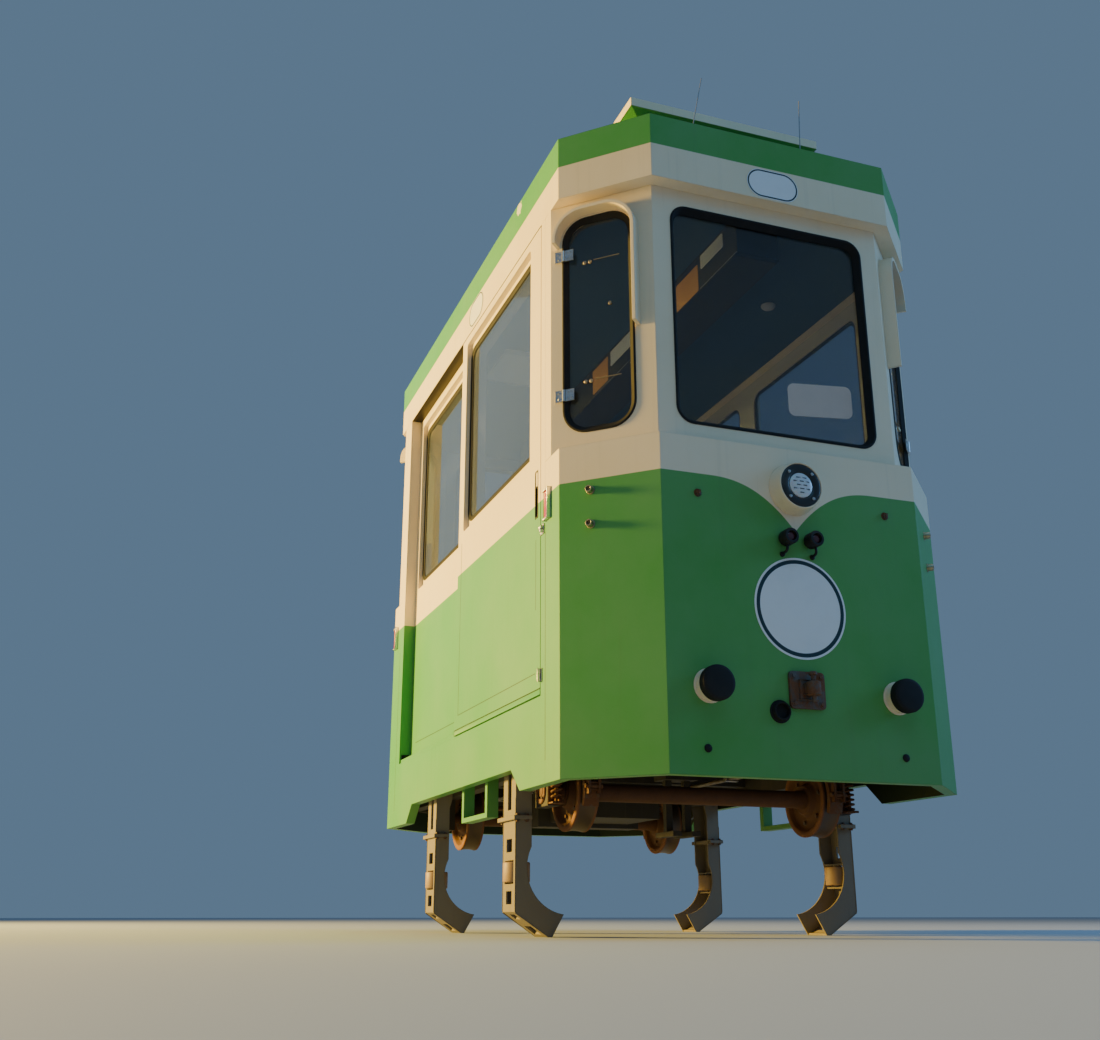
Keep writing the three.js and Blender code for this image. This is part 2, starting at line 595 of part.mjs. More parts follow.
// Buffers, couplers and head lamps at both ends
const BUFFER = { y: 370, z: 805, r: 60, reach: 78 };
const COUPLER = { z: 810, flange: 70, flangeLow: 65, reach: 75, halfW: 28, halfH: 25 };
const LAMP = { z: 1540, footR: 98, faceR: 88, collar: 54, bezelR: 81, reach: 60 };
for (const { name, dir } of ends) {
  const face = HALF_L + GAP;
  for (const side of [1, -1]) {
    place(`${name}_buffer_${side > 0 ? 'left' : 'right'}`, rod(
      'x', BUFFER.r, ...span(dir, face, HALF_L + BUFFER.reach), side * BUFFER.y, BUFFER.z, 40,
    ), 'rubber');
  }
  const { z, flange, flangeLow, halfW, halfH } = COUPLER;
  place(`${name}_coupler`, join(
    box(...span(dir, face, HALF_L + 12), -flange, flange, z - flangeLow, z + flangeLow),
    box(...span(dir, HALF_L + 10, HALF_L + COUPLER.reach), -halfW, halfW, z - halfH, z + halfH),
  ), 'dark');
  const collarLength = LAMP.collar - GAP;
  const collar = new THREE.CylinderGeometry(LAMP.faceR, LAMP.footR, collarLength, 48);
  collar.rotateZ(-dir * Math.PI / 2);
  collar.translate(dir * (face + collarLength / 2), 0, LAMP.z);
  place(`${name}_head_lamp`, join(
    solid(collar),
    rod('x', LAMP.bezelR, ...span(dir, HALF_L + LAMP.collar - 5, HALF_L + LAMP.reach), 0, LAMP.z, 48),
  ), 'lamp');
}

// Bench along the left side
const BENCH = { half: 900, y0: 330, y1: HALF_W - WALL - GAP, z0: 1140, z1: 1170, leg: 40, toe: 60, r: 30 };
const SEAT = { top: 1250, back: 670 };
const BACKREST = { z0: 1265, z1: 1690, front: 690 };
const cabinFloor = FLOOR_Z + FLOOR_T + GAP;
const legMiddles = [-BENCH.half + BENCH.leg / 2, 0, BENCH.half - BENCH.leg / 2];
place('bench_frame', join(
  box(-BENCH.half, BENCH.half, BENCH.y0, BENCH.y1, BENCH.z0, BENCH.z1),
  ...legMiddles.map((x) => box(
    x - BENCH.leg / 2, x + BENCH.leg / 2, BENCH.y0 + BENCH.toe, BENCH.y1, cabinFloor, BENCH.z0 + 1,
  )),
), 'liner');
place('bench_seat', wall(
  rounded(-BENCH.half, BENCH.half, BENCH.z1 + GAP, SEAT.top, BENCH.r), LEFT, BENCH.y0, SEAT.back,
), 'fabric');
place('bench_back', wall(
  rounded(-BENCH.half, BENCH.half, BACKREST.z0, BACKREST.z1, BENCH.r), LEFT, BACKREST.front, BENCH.y1,
), 'fabric');

export default car;
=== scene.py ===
"""Looks of the elevated capsule car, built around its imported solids. Metres, +X forward, +Z up."""
import math

import bmesh
import bpy
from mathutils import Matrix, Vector


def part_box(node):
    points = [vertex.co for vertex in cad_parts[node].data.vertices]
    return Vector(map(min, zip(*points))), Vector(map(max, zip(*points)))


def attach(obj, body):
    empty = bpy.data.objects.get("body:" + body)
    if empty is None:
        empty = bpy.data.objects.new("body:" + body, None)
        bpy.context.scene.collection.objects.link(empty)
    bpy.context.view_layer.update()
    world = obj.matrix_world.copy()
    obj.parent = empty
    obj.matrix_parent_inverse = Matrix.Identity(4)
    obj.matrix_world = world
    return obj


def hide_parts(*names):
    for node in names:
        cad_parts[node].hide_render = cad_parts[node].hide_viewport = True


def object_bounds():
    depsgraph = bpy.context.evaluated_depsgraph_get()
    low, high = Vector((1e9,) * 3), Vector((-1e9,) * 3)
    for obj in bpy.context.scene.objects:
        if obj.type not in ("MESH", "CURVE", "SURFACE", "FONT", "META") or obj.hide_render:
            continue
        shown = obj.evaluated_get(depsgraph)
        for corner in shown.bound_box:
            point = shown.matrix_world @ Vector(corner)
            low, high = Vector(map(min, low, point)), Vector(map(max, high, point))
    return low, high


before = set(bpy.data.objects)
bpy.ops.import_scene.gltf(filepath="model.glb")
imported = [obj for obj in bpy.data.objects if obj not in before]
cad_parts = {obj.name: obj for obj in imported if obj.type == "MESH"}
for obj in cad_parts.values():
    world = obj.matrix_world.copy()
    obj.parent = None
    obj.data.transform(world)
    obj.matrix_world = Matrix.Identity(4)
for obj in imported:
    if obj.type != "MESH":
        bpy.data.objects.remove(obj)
solids_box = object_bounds()


# Camera: it stands on the floor ahead of the car's right front corner and looks up, as in the
# photograph. The car sits right of the middle of the picture and fills most of its height.
CAMERA_AZIMUTH = math.radians(66.5)
CAMERA_DISTANCE = 5.6
CAMERA_HEIGHT = 0.08
PICTURE = (1100, 1040)
CAR_HEIGHT_SHARE = 0.83
CAR_MIDDLE_SHARE = (0.611, 0.486)
CAR_CORNERS = (
    (1.575, -0.525, 3.02), (1.575, 0.525, 3.02), (-1.3, -0.8, 3.02), (1.3, -0.8, 3.02),
    (1.24, -0.45, 3.355), (1.24, 0.45, 3.355), (1.3, 0.8, 3.02), (-1.3, -0.8, 0.51),
    (-0.59, -0.59, 0.0), (0.59, -0.59, 0.0), (1.375, -0.27, 3.42), (-0.59, 0.59, 0.0),
    (1.3, 0.8, 0.51), (1.3, -0.8, 0.51), (1.575, 0.525, 0.51), (1.575, -0.525, 0.51),
)

car_low, car_high = solids_box
middle = (car_low + car_high) / 2
away = Vector((math.sin(CAMERA_AZIMUTH), -math.cos(CAMERA_AZIMUTH), 0))
eye = Vector((middle.x, middle.y, 0)) + away * CAMERA_DISTANCE
eye.z = CAMERA_HEIGHT

camera_data = bpy.data.cameras.new("camera")
camera = bpy.data.objects.new("camera", camera_data)
bpy.context.scene.collection.objects.link(camera)
bpy.context.scene.camera = camera
camera_data.sensor_width = 36.0
camera_data.lens = 57.0
camera_data.clip_start = 0.05
camera_data.clip_end = 200.0
camera.location = eye
camera.rotation_mode = "QUATERNION"


def aim_camera(target):
    """Turns the camera to the target, with the horizon level."""
    camera.rotation_quaternion = (target - eye).to_track_quat("-Z", "Y")
    bpy.context.view_layer.update()


def picture_place(point):
    """Where a point falls in the picture: shares of its width and height, from the top left."""
    local = camera.matrix_world.inverted() @ point
    across = local.x / -local.z * camera_data.lens / camera_data.sensor_width
    down = local.y / -local.z * camera_data.lens / camera_data.sensor_width
    return 0.5 + across, 0.5 - down * PICTURE[0] / PICTURE[1]


def car_extent():
    """Lowest and highest shares that the body's corners and feet take in the picture."""
    places = [picture_place(Vector(point)) for point in CAR_CORNERS]
    return [min(p[i] for p in places) for i in (0, 1)], [max(p[i] for p in places) for i in (0, 1)]


target = middle.copy()
for _ in range(12):
    aim_camera(target)
    low, high = car_extent()
    camera_data.lens *= CAR_HEIGHT_SHARE / (high[1] - low[1])
    low, high = car_extent()
    side = (camera.matrix_world.to_3x3() @ Vector((1, 0, 0))).normalized()
    reach = (target - eye).length * camera_data.sensor_width / camera_data.lens
    target = target + side * ((low[0] + high[0]) / 2 - CAR_MIDDLE_SHARE[0]) * reach
    target.z -= ((low[1] + high[1]) / 2 - CAR_MIDDLE_SHARE[1]) * reach * PICTURE[1] / PICTURE[0]
aim_camera(target)


# Studio: a plain pale floor, a warm light low on the car's right side, and cool soft light from the
# front, from above and all round. A weak warm light stands in the cabin, unseen in the glass.
FLOOR_HALF = 30.0
FLOOR_COLOR = (0.40, 0.46, 0.54, 1)
SKY_COLOR = (0.40, 0.66, 1.0, 1)
SKY_STRENGTH = 0.27


def material(name):
    """A new material with its Principled shader."""
    made = bpy.data.materials.new(name)
    made.use_nodes = True
    return made, made.node_tree, made.node_tree.nodes["Principled BSDF"]


def floor_piece():
    """The flat floor that the car stands on."""
    bm = bmesh.new()
    bmesh.ops.create_grid(bm, x_segments=1, y_segments=1, size=FLOOR_HALF)
    data = bpy.data.meshes.new("studio_floor")
    bm.to_mesh(data)
    bm.free()
    made = bpy.data.objects.new("studio_floor", data)
    bpy.context.scene.collection.objects.link(made)
    paint, _, shader = material("studio floor")
    shader.inputs["Base Color"].default_value = FLOOR_COLOR
    shader.inputs["Roughness"].default_value = 0.85
    data.materials.append(paint)
    return made


floor_piece()

world = bpy.data.worlds.new("studio")
bpy.context.scene.world = world
world.use_nodes = True
world.node_tree.nodes["Background"].inputs["Color"].default_value = SKY_COLOR
world.node_tree.nodes["Background"].inputs["Strength"].default_value = SKY_STRENGTH


def area_light(name, place, width, height, power, color, aim=(0, 0, 1.6)):
    """A soft light that faces the middle of the car, or another point."""
    data = bpy.data.lights.new(name, "AREA")
    data.shape = "RECTANGLE"
    data.size, data.size_y = width, height
    data.energy = power
    data.color = color
    made = bpy.data.objects.new(name, data)
    bpy.context.scene.collection.objects.link(made)
    made.location = place
    made.rotation_mode = "QUATERNION"
    made.rotation_quaternion = (Vector(aim) - Vector(place)).to_track_quat("-Z", "Y")
    return made


area_light("key", (-6.2, -10.2, 3.2), 1.6, 1.6, 5700, (1.0, 0.65, 0.12))
area_light("front fill", (8.0, -1.0, 9.0), 7.0, 6.0, 113, (0.13, 0.55, 1.0))
area_light("side panel", (-8.5, -4.3, 5.2), 6.0, 5.0, 34, (0.32, 0.66, 1.0))
area_light("left fill", (3.5, 9.0, 4.5), 5.0, 4.0, 320, (0.19, 0.50, 1.0))
area_light("top fill", (0.0, 1.0, 9.0), 8.0, 6.0, 80, (0.80, 0.90, 1.0))
cabin_light = area_light("cabin light", (0.1, -0.62, 1.9), 1.9, 0.9, 4, (1.0, 0.80, 0.62), (0.1, 0.6, 2.25))
cabin_light.visible_camera = False
cabin_light.visible_glossy = False
cabin_light.visible_transmission = False


# Painted body panels: moulded plastic sprayed light green below and cream above one line that runs
# round the car and dips to a point under the head lamps. Inside the cabin the same walls are left in
# pale grey lining, and below the floor they are dark with road dirt. Grooves mark the panels' seams.
GREEN = (0.092, 0.345, 0.090, 1)
CREAM = (0.850, 0.725, 0.520, 1)
LINING = (0.42, 0.41, 0.38, 1)
UNDERSIDE = (0.016, 0.034, 0.014, 1)
BODY_HALF_W = 0.800
INSET_PANEL_Y = 0.742
CABIN_FLOOR_Z = 0.785
LEDGE_Z = 1.6975
LOWER_INNER = (1.5325, 2.0400)
UPPER_INNER = (1.4725, 1.9550)
SIDE_INNER = 0.7575
INSET_INNER = 0.7005
LINE_Z = 1.557
SCALLOP_DROP = 0.175
SCALLOP_HALF = 0.34
SCALLOP_POWER = 2.4
PAINT_EDGE = 0.0012
DUST_FULL_Z = 0.35


def feed(tree, made, values):
    """Gives a node's inputs their values: numbers, colours, or sockets of other nodes."""
    for key, value in values.items():
        if isinstance(value, bpy.types.NodeSocket):
            tree.links.new(value, made.inputs[key])
        else:
            made.inputs[key].default_value = value


def node(tree, kind, values=None, **settings):
    """One shader node. Each value is a number, a colour, or a socket of another node."""
    made = tree.nodes.new("ShaderNode" + kind)
    for name, value in settings.items():
        setattr(made, name, value)
    feed(tree, made, values or {})
    return made


def math_node(tree, operation, a, b=0.0, c=0.0, clamp=False):
    """The result socket of one Math node."""
    return node(tree, "Math", {0: a, 1: b, 2: c}, operation=operation, use_clamp=clamp).outputs[0]


def mix_colors(tree, share, a, b):
    """Colour a turned into colour b by a share."""
    made = node(tree, "Mix", data_type="RGBA", clamp_factor=True)
    feed(tree, made, {0: share, 6: a, 7: b})
    return made.outputs[2]


def noise(tree, place, scale, detail, roughness=0.5):
    """A cloudy noise between about 0.3 and 0.7."""
    return node(tree, "TexNoise", {
        "Vector": place, "Scale": scale, "Detail": detail, "Roughness": roughness,
    }).outputs[0]


def ramp(tree, value, start=(0.0, 1.0), to=(0.0, 1.0)):
    """A value carried from one range to another and held inside it."""
    return node(tree, "MapRange", {
        "Value": value, "From Min": start[0], "From Max": start[1], "To Min": to[0], "To Max": to[1],
    }).outputs[0]


def set_bump(tree, shader, strength, distance, height, rounding=None):
    """Bumps a surface by a height, and rounds its edges by a radius where one is given."""
    values = {"Strength": strength, "Distance": distance, "Height": height}
    if rounding is not None:
        values["Normal"] = node(tree, "Bevel", {"Radius": rounding}, samples=4).outputs[0]
    feed(tree, shader, {"Normal": node(tree, "Bump", values).outputs[0]})


def group(name, inputs, outputs):
    """A new shader node group with its named inputs (name, default) and outputs (name, kind)."""
    tree = bpy.data.node_groups.new(name, "ShaderNodeTree")
    for label, default in inputs:
        socket = tree.interface.new_socket(label, in_out="INPUT", socket_type="NodeSocketFloat")
        socket.default_value = default
    for label, kind in outputs:
        tree.interface.new_socket(label, in_out="OUTPUT", socket_type="NodeSocket" + kind)
    return tree, tree.nodes.new("NodeGroupInput"), tree.nodes.new("NodeGroupOutput")


def use_group(tree, shared, **values):
    """A group placed in a material, with its own values; a name's underscores are spaces."""
    made = tree.nodes.new("ShaderNodeGroup")
    made.node_tree = shared
    feed(tree, made, {key.replace("_", " "): value for key, value in values.items()})
    return made.outputs


def paint_line_group():
    """Mask of what lies below the paint line."""
    tree, _, out = group("Paint line", [], [("Below", "Float")])
    place = node(tree, "SeparateXYZ", {0: node(tree, "TexCoord").outputs["Object"]}).outputs
    share = math_node(tree, "DIVIDE", math_node(tree, "ABSOLUTE", place[1]), SCALLOP_HALF, clamp=True)
    left = math_node(tree, "SUBTRACT", 1.0, share)
    dip = math_node(tree, "MULTIPLY", math_node(tree, "POWER", left, SCALLOP_POWER), SCALLOP_DROP)
    line = math_node(tree, "SUBTRACT", LINE_Z, dip)
    above = math_node(tree, "SUBTRACT", place[2], line)
    below = ramp(tree, above, (PAINT_EDGE, -PAINT_EDGE))
    tree.links.new(below, out.inputs["Below"])
    return tree


def wall_side_group():
    """Masks of the walls' inner side, above the floor and below it."""
    masks = [("Cabin", "Float"), ("Skirt", "Float")]
    tree, given, out = group("Wall side", [("Right wall", SIDE_INNER)], masks)
    x, y, z = node(tree, "SeparateXYZ", {0: node(tree, "TexCoord").outputs["Object"]}).outputs
    long, wide = math_node(tree, "ABSOLUTE", x), math_node(tree, "ABSOLUTE", y)
    both = math_node(tree, "ADD", long, wide)
    high = math_node(tree, "GREATER_THAN", z, LEDGE_Z)
    ends_at, sum_at = (ramp(tree, high, to=limits) for limits in zip(LOWER_INNER, UPPER_INNER))
    inside = math_node(tree, "MULTIPLY", math_node(tree, "LESS_THAN", long, ends_at),
                       math_node(tree, "LESS_THAN", both, sum_at))
    other_way = math_node(tree, "MULTIPLY", y, -1.0)
    for value, limit in ((y, SIDE_INNER), (other_way, given.outputs["Right wall"])):
        inside = math_node(tree, "MULTIPLY", inside, math_node(tree, "LESS_THAN", value, limit))
    above = math_node(tree, "GREATER_THAN", z, CABIN_FLOOR_Z)
    under = math_node(tree, "SUBTRACT", 1.0, above)
    for name, share in (("Cabin", above), ("Skirt", under)):
        tree.links.new(math_node(tree, "MULTIPLY", inside, share), out.inputs[name])
    return tree


def seam_group():
    """Mask of the fine upright and level grooves on the car's sides."""
    tree, _, out = group("Panel seams", [], [("Groove", "Float")])
    x, y, z = node(tree, "SeparateXYZ", {0: node(tree, "TexCoord").outputs["Object"]}).outputs
    found = None
    for across, at, half, along, start, end, face in PANEL_SEAMS:
        across, along = {"x": x, "z": z}[across], {"x": x, "z": z}[along]
        value = math_node(tree, "COMPARE", across, at, half)
        for operation, limit in (("GREATER_THAN", start), ("LESS_THAN", end)):
            value = math_node(tree, "MULTIPLY", value, math_node(tree, operation, along, limit))
        if face is None:
            near = math_node(tree, "COMPARE", math_node(tree, "ABSOLUTE", y), BODY_HALF_W, SEAM_REACH)
        else:
            near = math_node(tree, "COMPARE", y, face, SEAM_REACH)
        value = math_node(tree, "MULTIPLY", value, near)
        found = value if found is None else math_node(tree, "MAXIMUM", found, value)
    tree.links.new(found, out.inputs["Groove"])
    return tree


def weather_group():
    """Outdoor wear of a painted surface: cloudy fading, rain streaks, dust low down, specks."""
    tree, given, out = group(
        "Weather",
        [("Clouds", 0.5), ("Streaks", 0.5), ("Dust", 0.5), ("Dust top", 0.9), ("Specks", 0.5)],
        [("Soil", "Float"), ("Fade", "Float"), ("Rough", "Float"), ("Height", "Float")],
    )
    place = node(tree, "TexCoord").outputs["Object"]
    cloud = noise(tree, place, 2.2, 5.0, 0.6)
    tall = node(tree, "Mapping", {"Vector": place, "Scale": (26.0, 26.0, 0.9)}).outputs[0]
    run = noise(tree, tall, 1.0, 4.0, 0.65)
    streak = ramp(tree, run, (0.56, 0.80))
    grain = noise(tree, place, 900.0, 2.0)
    orange_peel = noise(tree, place, 130.0, 2.0)
    patch = noise(tree, place, 70.0, 3.0, 0.7)
    speck = ramp(tree, patch, (0.70, 0.76))
    high = node(tree, "SeparateXYZ", {0: place}).outputs[2]
    low = ramp(tree, high, (given.outputs["Dust top"], DUST_FULL_Z))
    dusty = math_node(tree, "MULTIPLY", math_node(tree, "MULTIPLY", low, cloud), given.outputs["Dust"])
    runs = math_node(tree, "MULTIPLY", streak, given.outputs["Streaks"])
    dots = math_node(tree, "MULTIPLY", speck, given.outputs["Specks"])
    soil = math_node(tree, "ADD", math_node(tree, "ADD", dusty, runs), dots, clamp=True)
    fade = math_node(tree, "MULTIPLY", math_node(tree, "SUBTRACT", cloud, 0.5), given.outputs["Clouds"])
    rough = math_node(tree, "ADD", math_node(tree, "MULTIPLY", soil, 0.35),
                      math_node(tree, "MULTIPLY", math_node(tree, "SUBTRACT", grain, 0.5), 0.10))
    height = math_node(tree, "ADD", orange_peel, math_node(tree, "MULTIPLY", soil, 0.6))
    for name, socket in (("Soil", soil), ("Fade", fade), ("Rough", rough), ("Height", height)):
        tree.links.new(socket, out.inputs[name])
    return tree


# Grooves: the axis across, its place, half width, the axis along, its span, and the panel's y (None
# for both sides)
SEAM_REACH = 0.004
PANEL_SEAMS = (
    ("x", 1.155, 0.0025, "z", 0.590, 1.421, None),
    ("x", -1.155, 0.0025, "z", 0.590, 1.421, None),
    ("z", 0.912, 0.0018, "x", 0.021, 1.047, -BODY_HALF_W),
    ("x", 0.024, 0.0030, "z", 0.912, 1.700, -BODY_HALF_W),
    ("x", 1.050, 0.0025, "z", 1.148, 1.419, -BODY_HALF_W),
    ("z", 0.922, 0.0018, "x", -0.977, -0.040, -INSET_PANEL_Y),
    ("z", 0.850, 0.0022, "x", -0.032, 1.100, -BODY_HALF_W),
)
PAINT_LINE = paint_line_group()
WALL_SIDE = wall_side_group()
SEAMS = seam_group()
WEATHER = weather_group()
SOIL_COLOR = (0.13, 0.115, 0.09, 1)
EDGE_ROUND = 0.004
PAINT_ROUGH = 0.42


def finish_paint(tree, shader, color, weather, roughness, soil_share=0.5, bump=0.12, edge=EDGE_ROUND):
    """Soils, fades and bumps a painted surface whose clean colour is given."""
    faded = node(tree, "HueSaturation", {
        "Saturation": math_node(tree, "SUBTRACT", 1.0, weather["Fade"]),
        "Value": math_node(tree, "ADD", 1.0, math_node(tree, "MULTIPLY", weather["Fade"], 0.35)),
        "Color": color,
    }).outputs[0]
    share = math_node(tree, "MULTIPLY", weather["Soil"], soil_share)
    rough = math_node(tree, "ADD", weather["Rough"], roughness, clamp=True)
    feed(tree, shader, {"Base Color": mix_colors(tree, share, faded, SOIL_COLOR), "Roughness": rough})
    set_bump(tree, shader, bump, 0.002, weather["Height"], edge)


def satin(tree, shader):
    """Gives a sprayed paint its dull gloss."""
    feed(tree, shader, {"Specular IOR Level": 0.22, "Coat Weight": 0.03, "Coat Roughness": 0.25})


def two_tone_paint(name, right_wall):
    """Green and cream outside, lining and road dirt inside; right_wall is how far out that side stands."""
    made, tree, shader = material(name)
    below = use_group(tree, PAINT_LINE)["Below"]
    side = use_group(tree, WALL_SIDE, Right_wall=right_wall)
    weather = use_group(tree, WEATHER, Clouds=0.35, Streaks=0.16, Dust=0.55, Dust_top=0.80, Specks=0.05)
    groove = use_group(tree, SEAMS)["Groove"]
    two_tone = mix_colors(tree, below, CREAM, GREEN)
    outer = mix_colors(tree, math_node(tree, "MULTIPLY", groove, 0.88), two_tone, UNDERSIDE)
    lined = mix_colors(tree, side["Cabin"], outer, LINING)
    finish_paint(tree, shader, mix_colors(tree, side["Skirt"], lined, UNDERSIDE), weather, PAINT_ROUGH)
    satin(tree, shader)
    return made


def plain_paint(name, color, roughness=PAINT_ROUGH, **wear):
    """One colour of paint, with its own wear where that is given."""
    made, tree, shader = material(name)
    values = {"Clouds": 0.35, "Streaks": 0.18, "Dust": 0.0, "Dust_top": 0.9, "Specks": 0.05}
    weather = use_group(tree, WEATHER, **{**values, **wear})
    finish_paint(tree, shader, color_socket(tree, color), weather, roughness)
    satin(tree, shader)
    return made


def color_socket(tree, color):
    """A colour as a socket, so that it can be faded and soiled."""
    made = node(tree, "RGB")
    made.outputs[0].default_value = color
    return made.outputs[0]


def dress(paint, *nodes):
    """Gives CAD solids a finished material."""
    for name in nodes:
        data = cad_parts[name].data
        data.materials.clear()
        data.materials.append(paint)


body_paint = two_tone_paint("green and cream paint", SIDE_INNER)
dress(body_paint, "front_lower_moulding", "rear_lower_moulding", "left_side_frame", "sliding_door",
      "front_upper_moulding", "rear_upper_moulding", "door_rail")
dress(two_tone_paint("inset panel paint", INSET_INNER), "right_side_frame")


# Roof: one moulding whose cornice is green above and cream below, with a green box and its
# cream-edged lid on top. Painted shade darkens its underside over the door's track, and a bird has
# left a pale mark.
CORNICE_LINE_Z = 2.888
LID_LINE_Z = 3.316
# Painted shade: near-black on the cornice's underside over the door's track.
TRACK_SHADE_BOX = ((-1.080, -0.7985, 2.740), (1.106, -0.742, 2.7462))
TRACK_SHADE_COLOR = (0.020, 0.016, 0.012, 1)
BIRD_MARK = (0.815, -0.800, 2.992)
BIRD_HALF = (0.036, 0.020, 0.034)
BIRD_WHITE = (0.72, 0.70, 0.62, 1)
SPLASH_EDGE = (1.62, 1.45)


def box_mask(tree, place, low, high):
    """Mask of what lies in a box."""
    found = None
    for axis, socket in enumerate(node(tree, "SeparateXYZ", {0: place}).outputs):
        for operation, limit in (("GREATER_THAN", low[axis]), ("LESS_THAN", high[axis])):
            value = math_node(tree, operation, socket, limit)
            found = value if found is None else math_node(tree, "MULTIPLY", found, value)
    return found


def splash_mask(tree, place, middle, half):
    """Mask of a ragged splash round a point."""
    moved = node(tree, "VectorMath", {0: place, 1: middle}, operation="SUBTRACT").outputs[0]
    spread = node(tree, "VectorMath", {0: moved, 1: half}, operation="DIVIDE").outputs[0]
    far = node(tree, "VectorMath", {0: spread}, operation="LENGTH").outputs["Value"]
    ragged = noise(tree, place, 55.0, 3.0)
    value = math_node(tree, "ADD", far, math_node(tree, "MULTIPLY", ragged, 1.4))
    return ramp(tree, value, SPLASH_EDGE)


def banded_paint(name, line_z, upper, lower):
    """Two plain bands that meet at a height, with painted shade over the door's track and a bird's pale
    mark.
    """
    made, tree, shader = material(name)
    place = node(tree, "TexCoord").outputs["Object"]
    high = node(tree, "SeparateXYZ", {0: place}).outputs[2]
    above = ramp(tree, high, (line_z - PAINT_EDGE, line_z + PAINT_EDGE))
    bands = mix_colors(tree, above, lower, upper)
    # Painted shade under the cornice over the door's track.
    track_shaded = mix_colors(tree, box_mask(tree, place, *TRACK_SHADE_BOX), bands, TRACK_SHADE_COLOR)
    marked = mix_colors(tree, splash_mask(tree, place, BIRD_MARK, BIRD_HALF), track_shaded, BIRD_WHITE)
    weather = use_group(tree, WEATHER, Clouds=0.4, Streaks=0.22, Dust=0.0, Dust_top=0.9, Specks=0.08)
    finish_paint(tree, shader, marked, weather, PAINT_ROUGH)
    satin(tree, shader)
    return made


dress(banded_paint("cornice paint", CORNICE_LINE_Z, GREEN, CREAM), "roof_shell")
dress(banded_paint("roof box paint", LID_LINE_Z, CREAM, GREEN), "roof_box")


# Window glass: tinted safety glass, one pane to each opening, clouded by dust in patches. The side
# panes are darker and duller than those at the ends and corners.
def window_glass(name, clear, dull, bright):
    """Tinted glass that lets a share of the light through."""
    made, tree, shader = material(name)
    place = node(tree, "TexCoord").outputs["Object"]
    film = noise(tree, place, 3.0, 6.0, 0.7)
    feed(tree, shader, {
        "Base Color": mix_colors(tree, film, dull, bright),
        "Roughness": ramp(tree, film, (0.35, 0.75), (0.0, 0.05)),
        "Transmission Weight": clear,
        "IOR": 1.5,
    })
    return made


END_PANES = [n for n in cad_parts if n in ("front_window", "rear_window") or "quarter_window" in n]
SIDE_PANES = [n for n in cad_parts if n.endswith("window") and n not in END_PANES]
dress(window_glass("tinted glass", 1.0, (0.56, 0.62, 0.68, 1), (0.62, 0.68, 0.74, 1)), *END_PANES)
dress(window_glass("dusty tinted glass", 0.89, (0.34, 0.41, 0.50, 1), (0.40, 0.47, 0.56, 1)), *SIDE_PANES)


# Window rubbers: an extruded black seal round each pane. Its outer lip lies on the painted panel and
# its inner lip on the glass. It is one closed ring, pushed into the opening.
RUBBER_WIDTH = 0.024
RUBBER_LIP = 0.0045
RUBBER_PROUD = 0.004
CHALKED_RUBBER = (0.060, 0.058, 0.054, 1)
BODY_UP_L = 1.515
UPPER_DIAG = 2.015
CORNER_N = UPPER_DIAG / math.sqrt(2)
CORNER_U = (BODY_UP_L - BODY_HALF_W) / math.sqrt(2)
GLASS_INSETS = {"front": 0.025, "quarter": 0.012, "side": 0.006}
QUARTER_HALF = 0.143
QUARTER_MID = 0.015
QUARTER_Z = (1.772, 2.668)
SIDE_Z = (1.795, 2.670)
POCKET_DEPTH = 0.024
RIGHT, LEFT = -math.pi / 2, math.pi / 2


def panel_point(theta, u, z, n):
    """A point on an upright panel that faces the angle theta: u along it, n outward from the middle."""
    return Vector((n * math.cos(theta) - u * math.sin(theta), n * math.sin(theta) + u * math.cos(theta), z))


def rounded_outline(u0, u1, z0, z1, radius, steps=8):
    """Points and outward directions round a rectangle with rounded corners."""
    corners = ((u1, z0, -90), (u1, z1, 0), (u0, z1, 90), (u0, z0, 180))
    found = []
    for u, z, start in corners:
        centre_u = u - radius if u == u1 else u + radius
        centre_z = z - radius if z == z1 else z + radius
        for i in range(steps + 1):
            angle = math.radians(start + 90 * i / steps)
            way = (math.cos(angle), math.sin(angle))
            found.append(((centre_u + radius * way[0], centre_z + radius * way[1]), way))
    return found


def swept_ring(bm, theta, face, outline, section):
    """Carries a section of (outward, proud) points round an outline on the panel at n = face."""
    rings = []
    for (u, z), (du, dz) in outline:
        rings.append([
            bm.verts.new(panel_point(theta, u + du * out, z + dz * out, face + proud))
            for out, proud in section
        ])
    count = len(section)
    for i, ring in enumerate(rings):
        after = rings[(i + 1) % len(rings)]
        for j in range(count):
            k = (j + 1) % count
            bm.faces.new((ring[j], ring[k], after[k], after[j]))


def add_piece(name, bm, paint, body="car", sharp=38):
    """Makes a mesh piece of the car and lets it ride on its body."""
    bmesh.ops.remove_doubles(bm, verts=bm.verts, dist=1e-6)
    bmesh.ops.recalc_face_normals(bm, faces=bm.faces)
    data = bpy.data.meshes.new(name)
    bm.to_mesh(data)
    bm.free()
    for face in data.polygons:
        face.use_smooth = True
    data.set_sharp_from_angle(angle=math.radians(sharp))
    data.materials.append(paint)
    made = bpy.data.objects.new(name, data)
    bpy.context.scene.collection.objects.link(made)
    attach(made, body)
    return made


def rubber(name, color, chalk):
    """Black rubber, chalked grey by the sun in patches, with fine mould grain."""
    made, tree, shader = material(name)
    place = node(tree, "TexCoord").outputs["Object"]
    cloud = noise(tree, place, 9.0, 6.0, 0.65)
    grain = noise(tree, place, 700.0, 2.0)
    share = math_node(tree, "MULTIPLY", ramp(tree, cloud, (0.45, 0.75)), chalk)
    feed(tree, shader, {
        "Base Color": mix_colors(tree, share, color, CHALKED_RUBBER),
        "Roughness": ramp(tree, cloud, to=(0.60, 0.85)),
        "Specular IOR Level": 0.25,
    })
    set_bump(tree, shader, 0.25, 0.0006, grain)
    return made


seal_rubber = rubber("window rubber", (0.011, 0.011, 0.012, 1), 0.25)


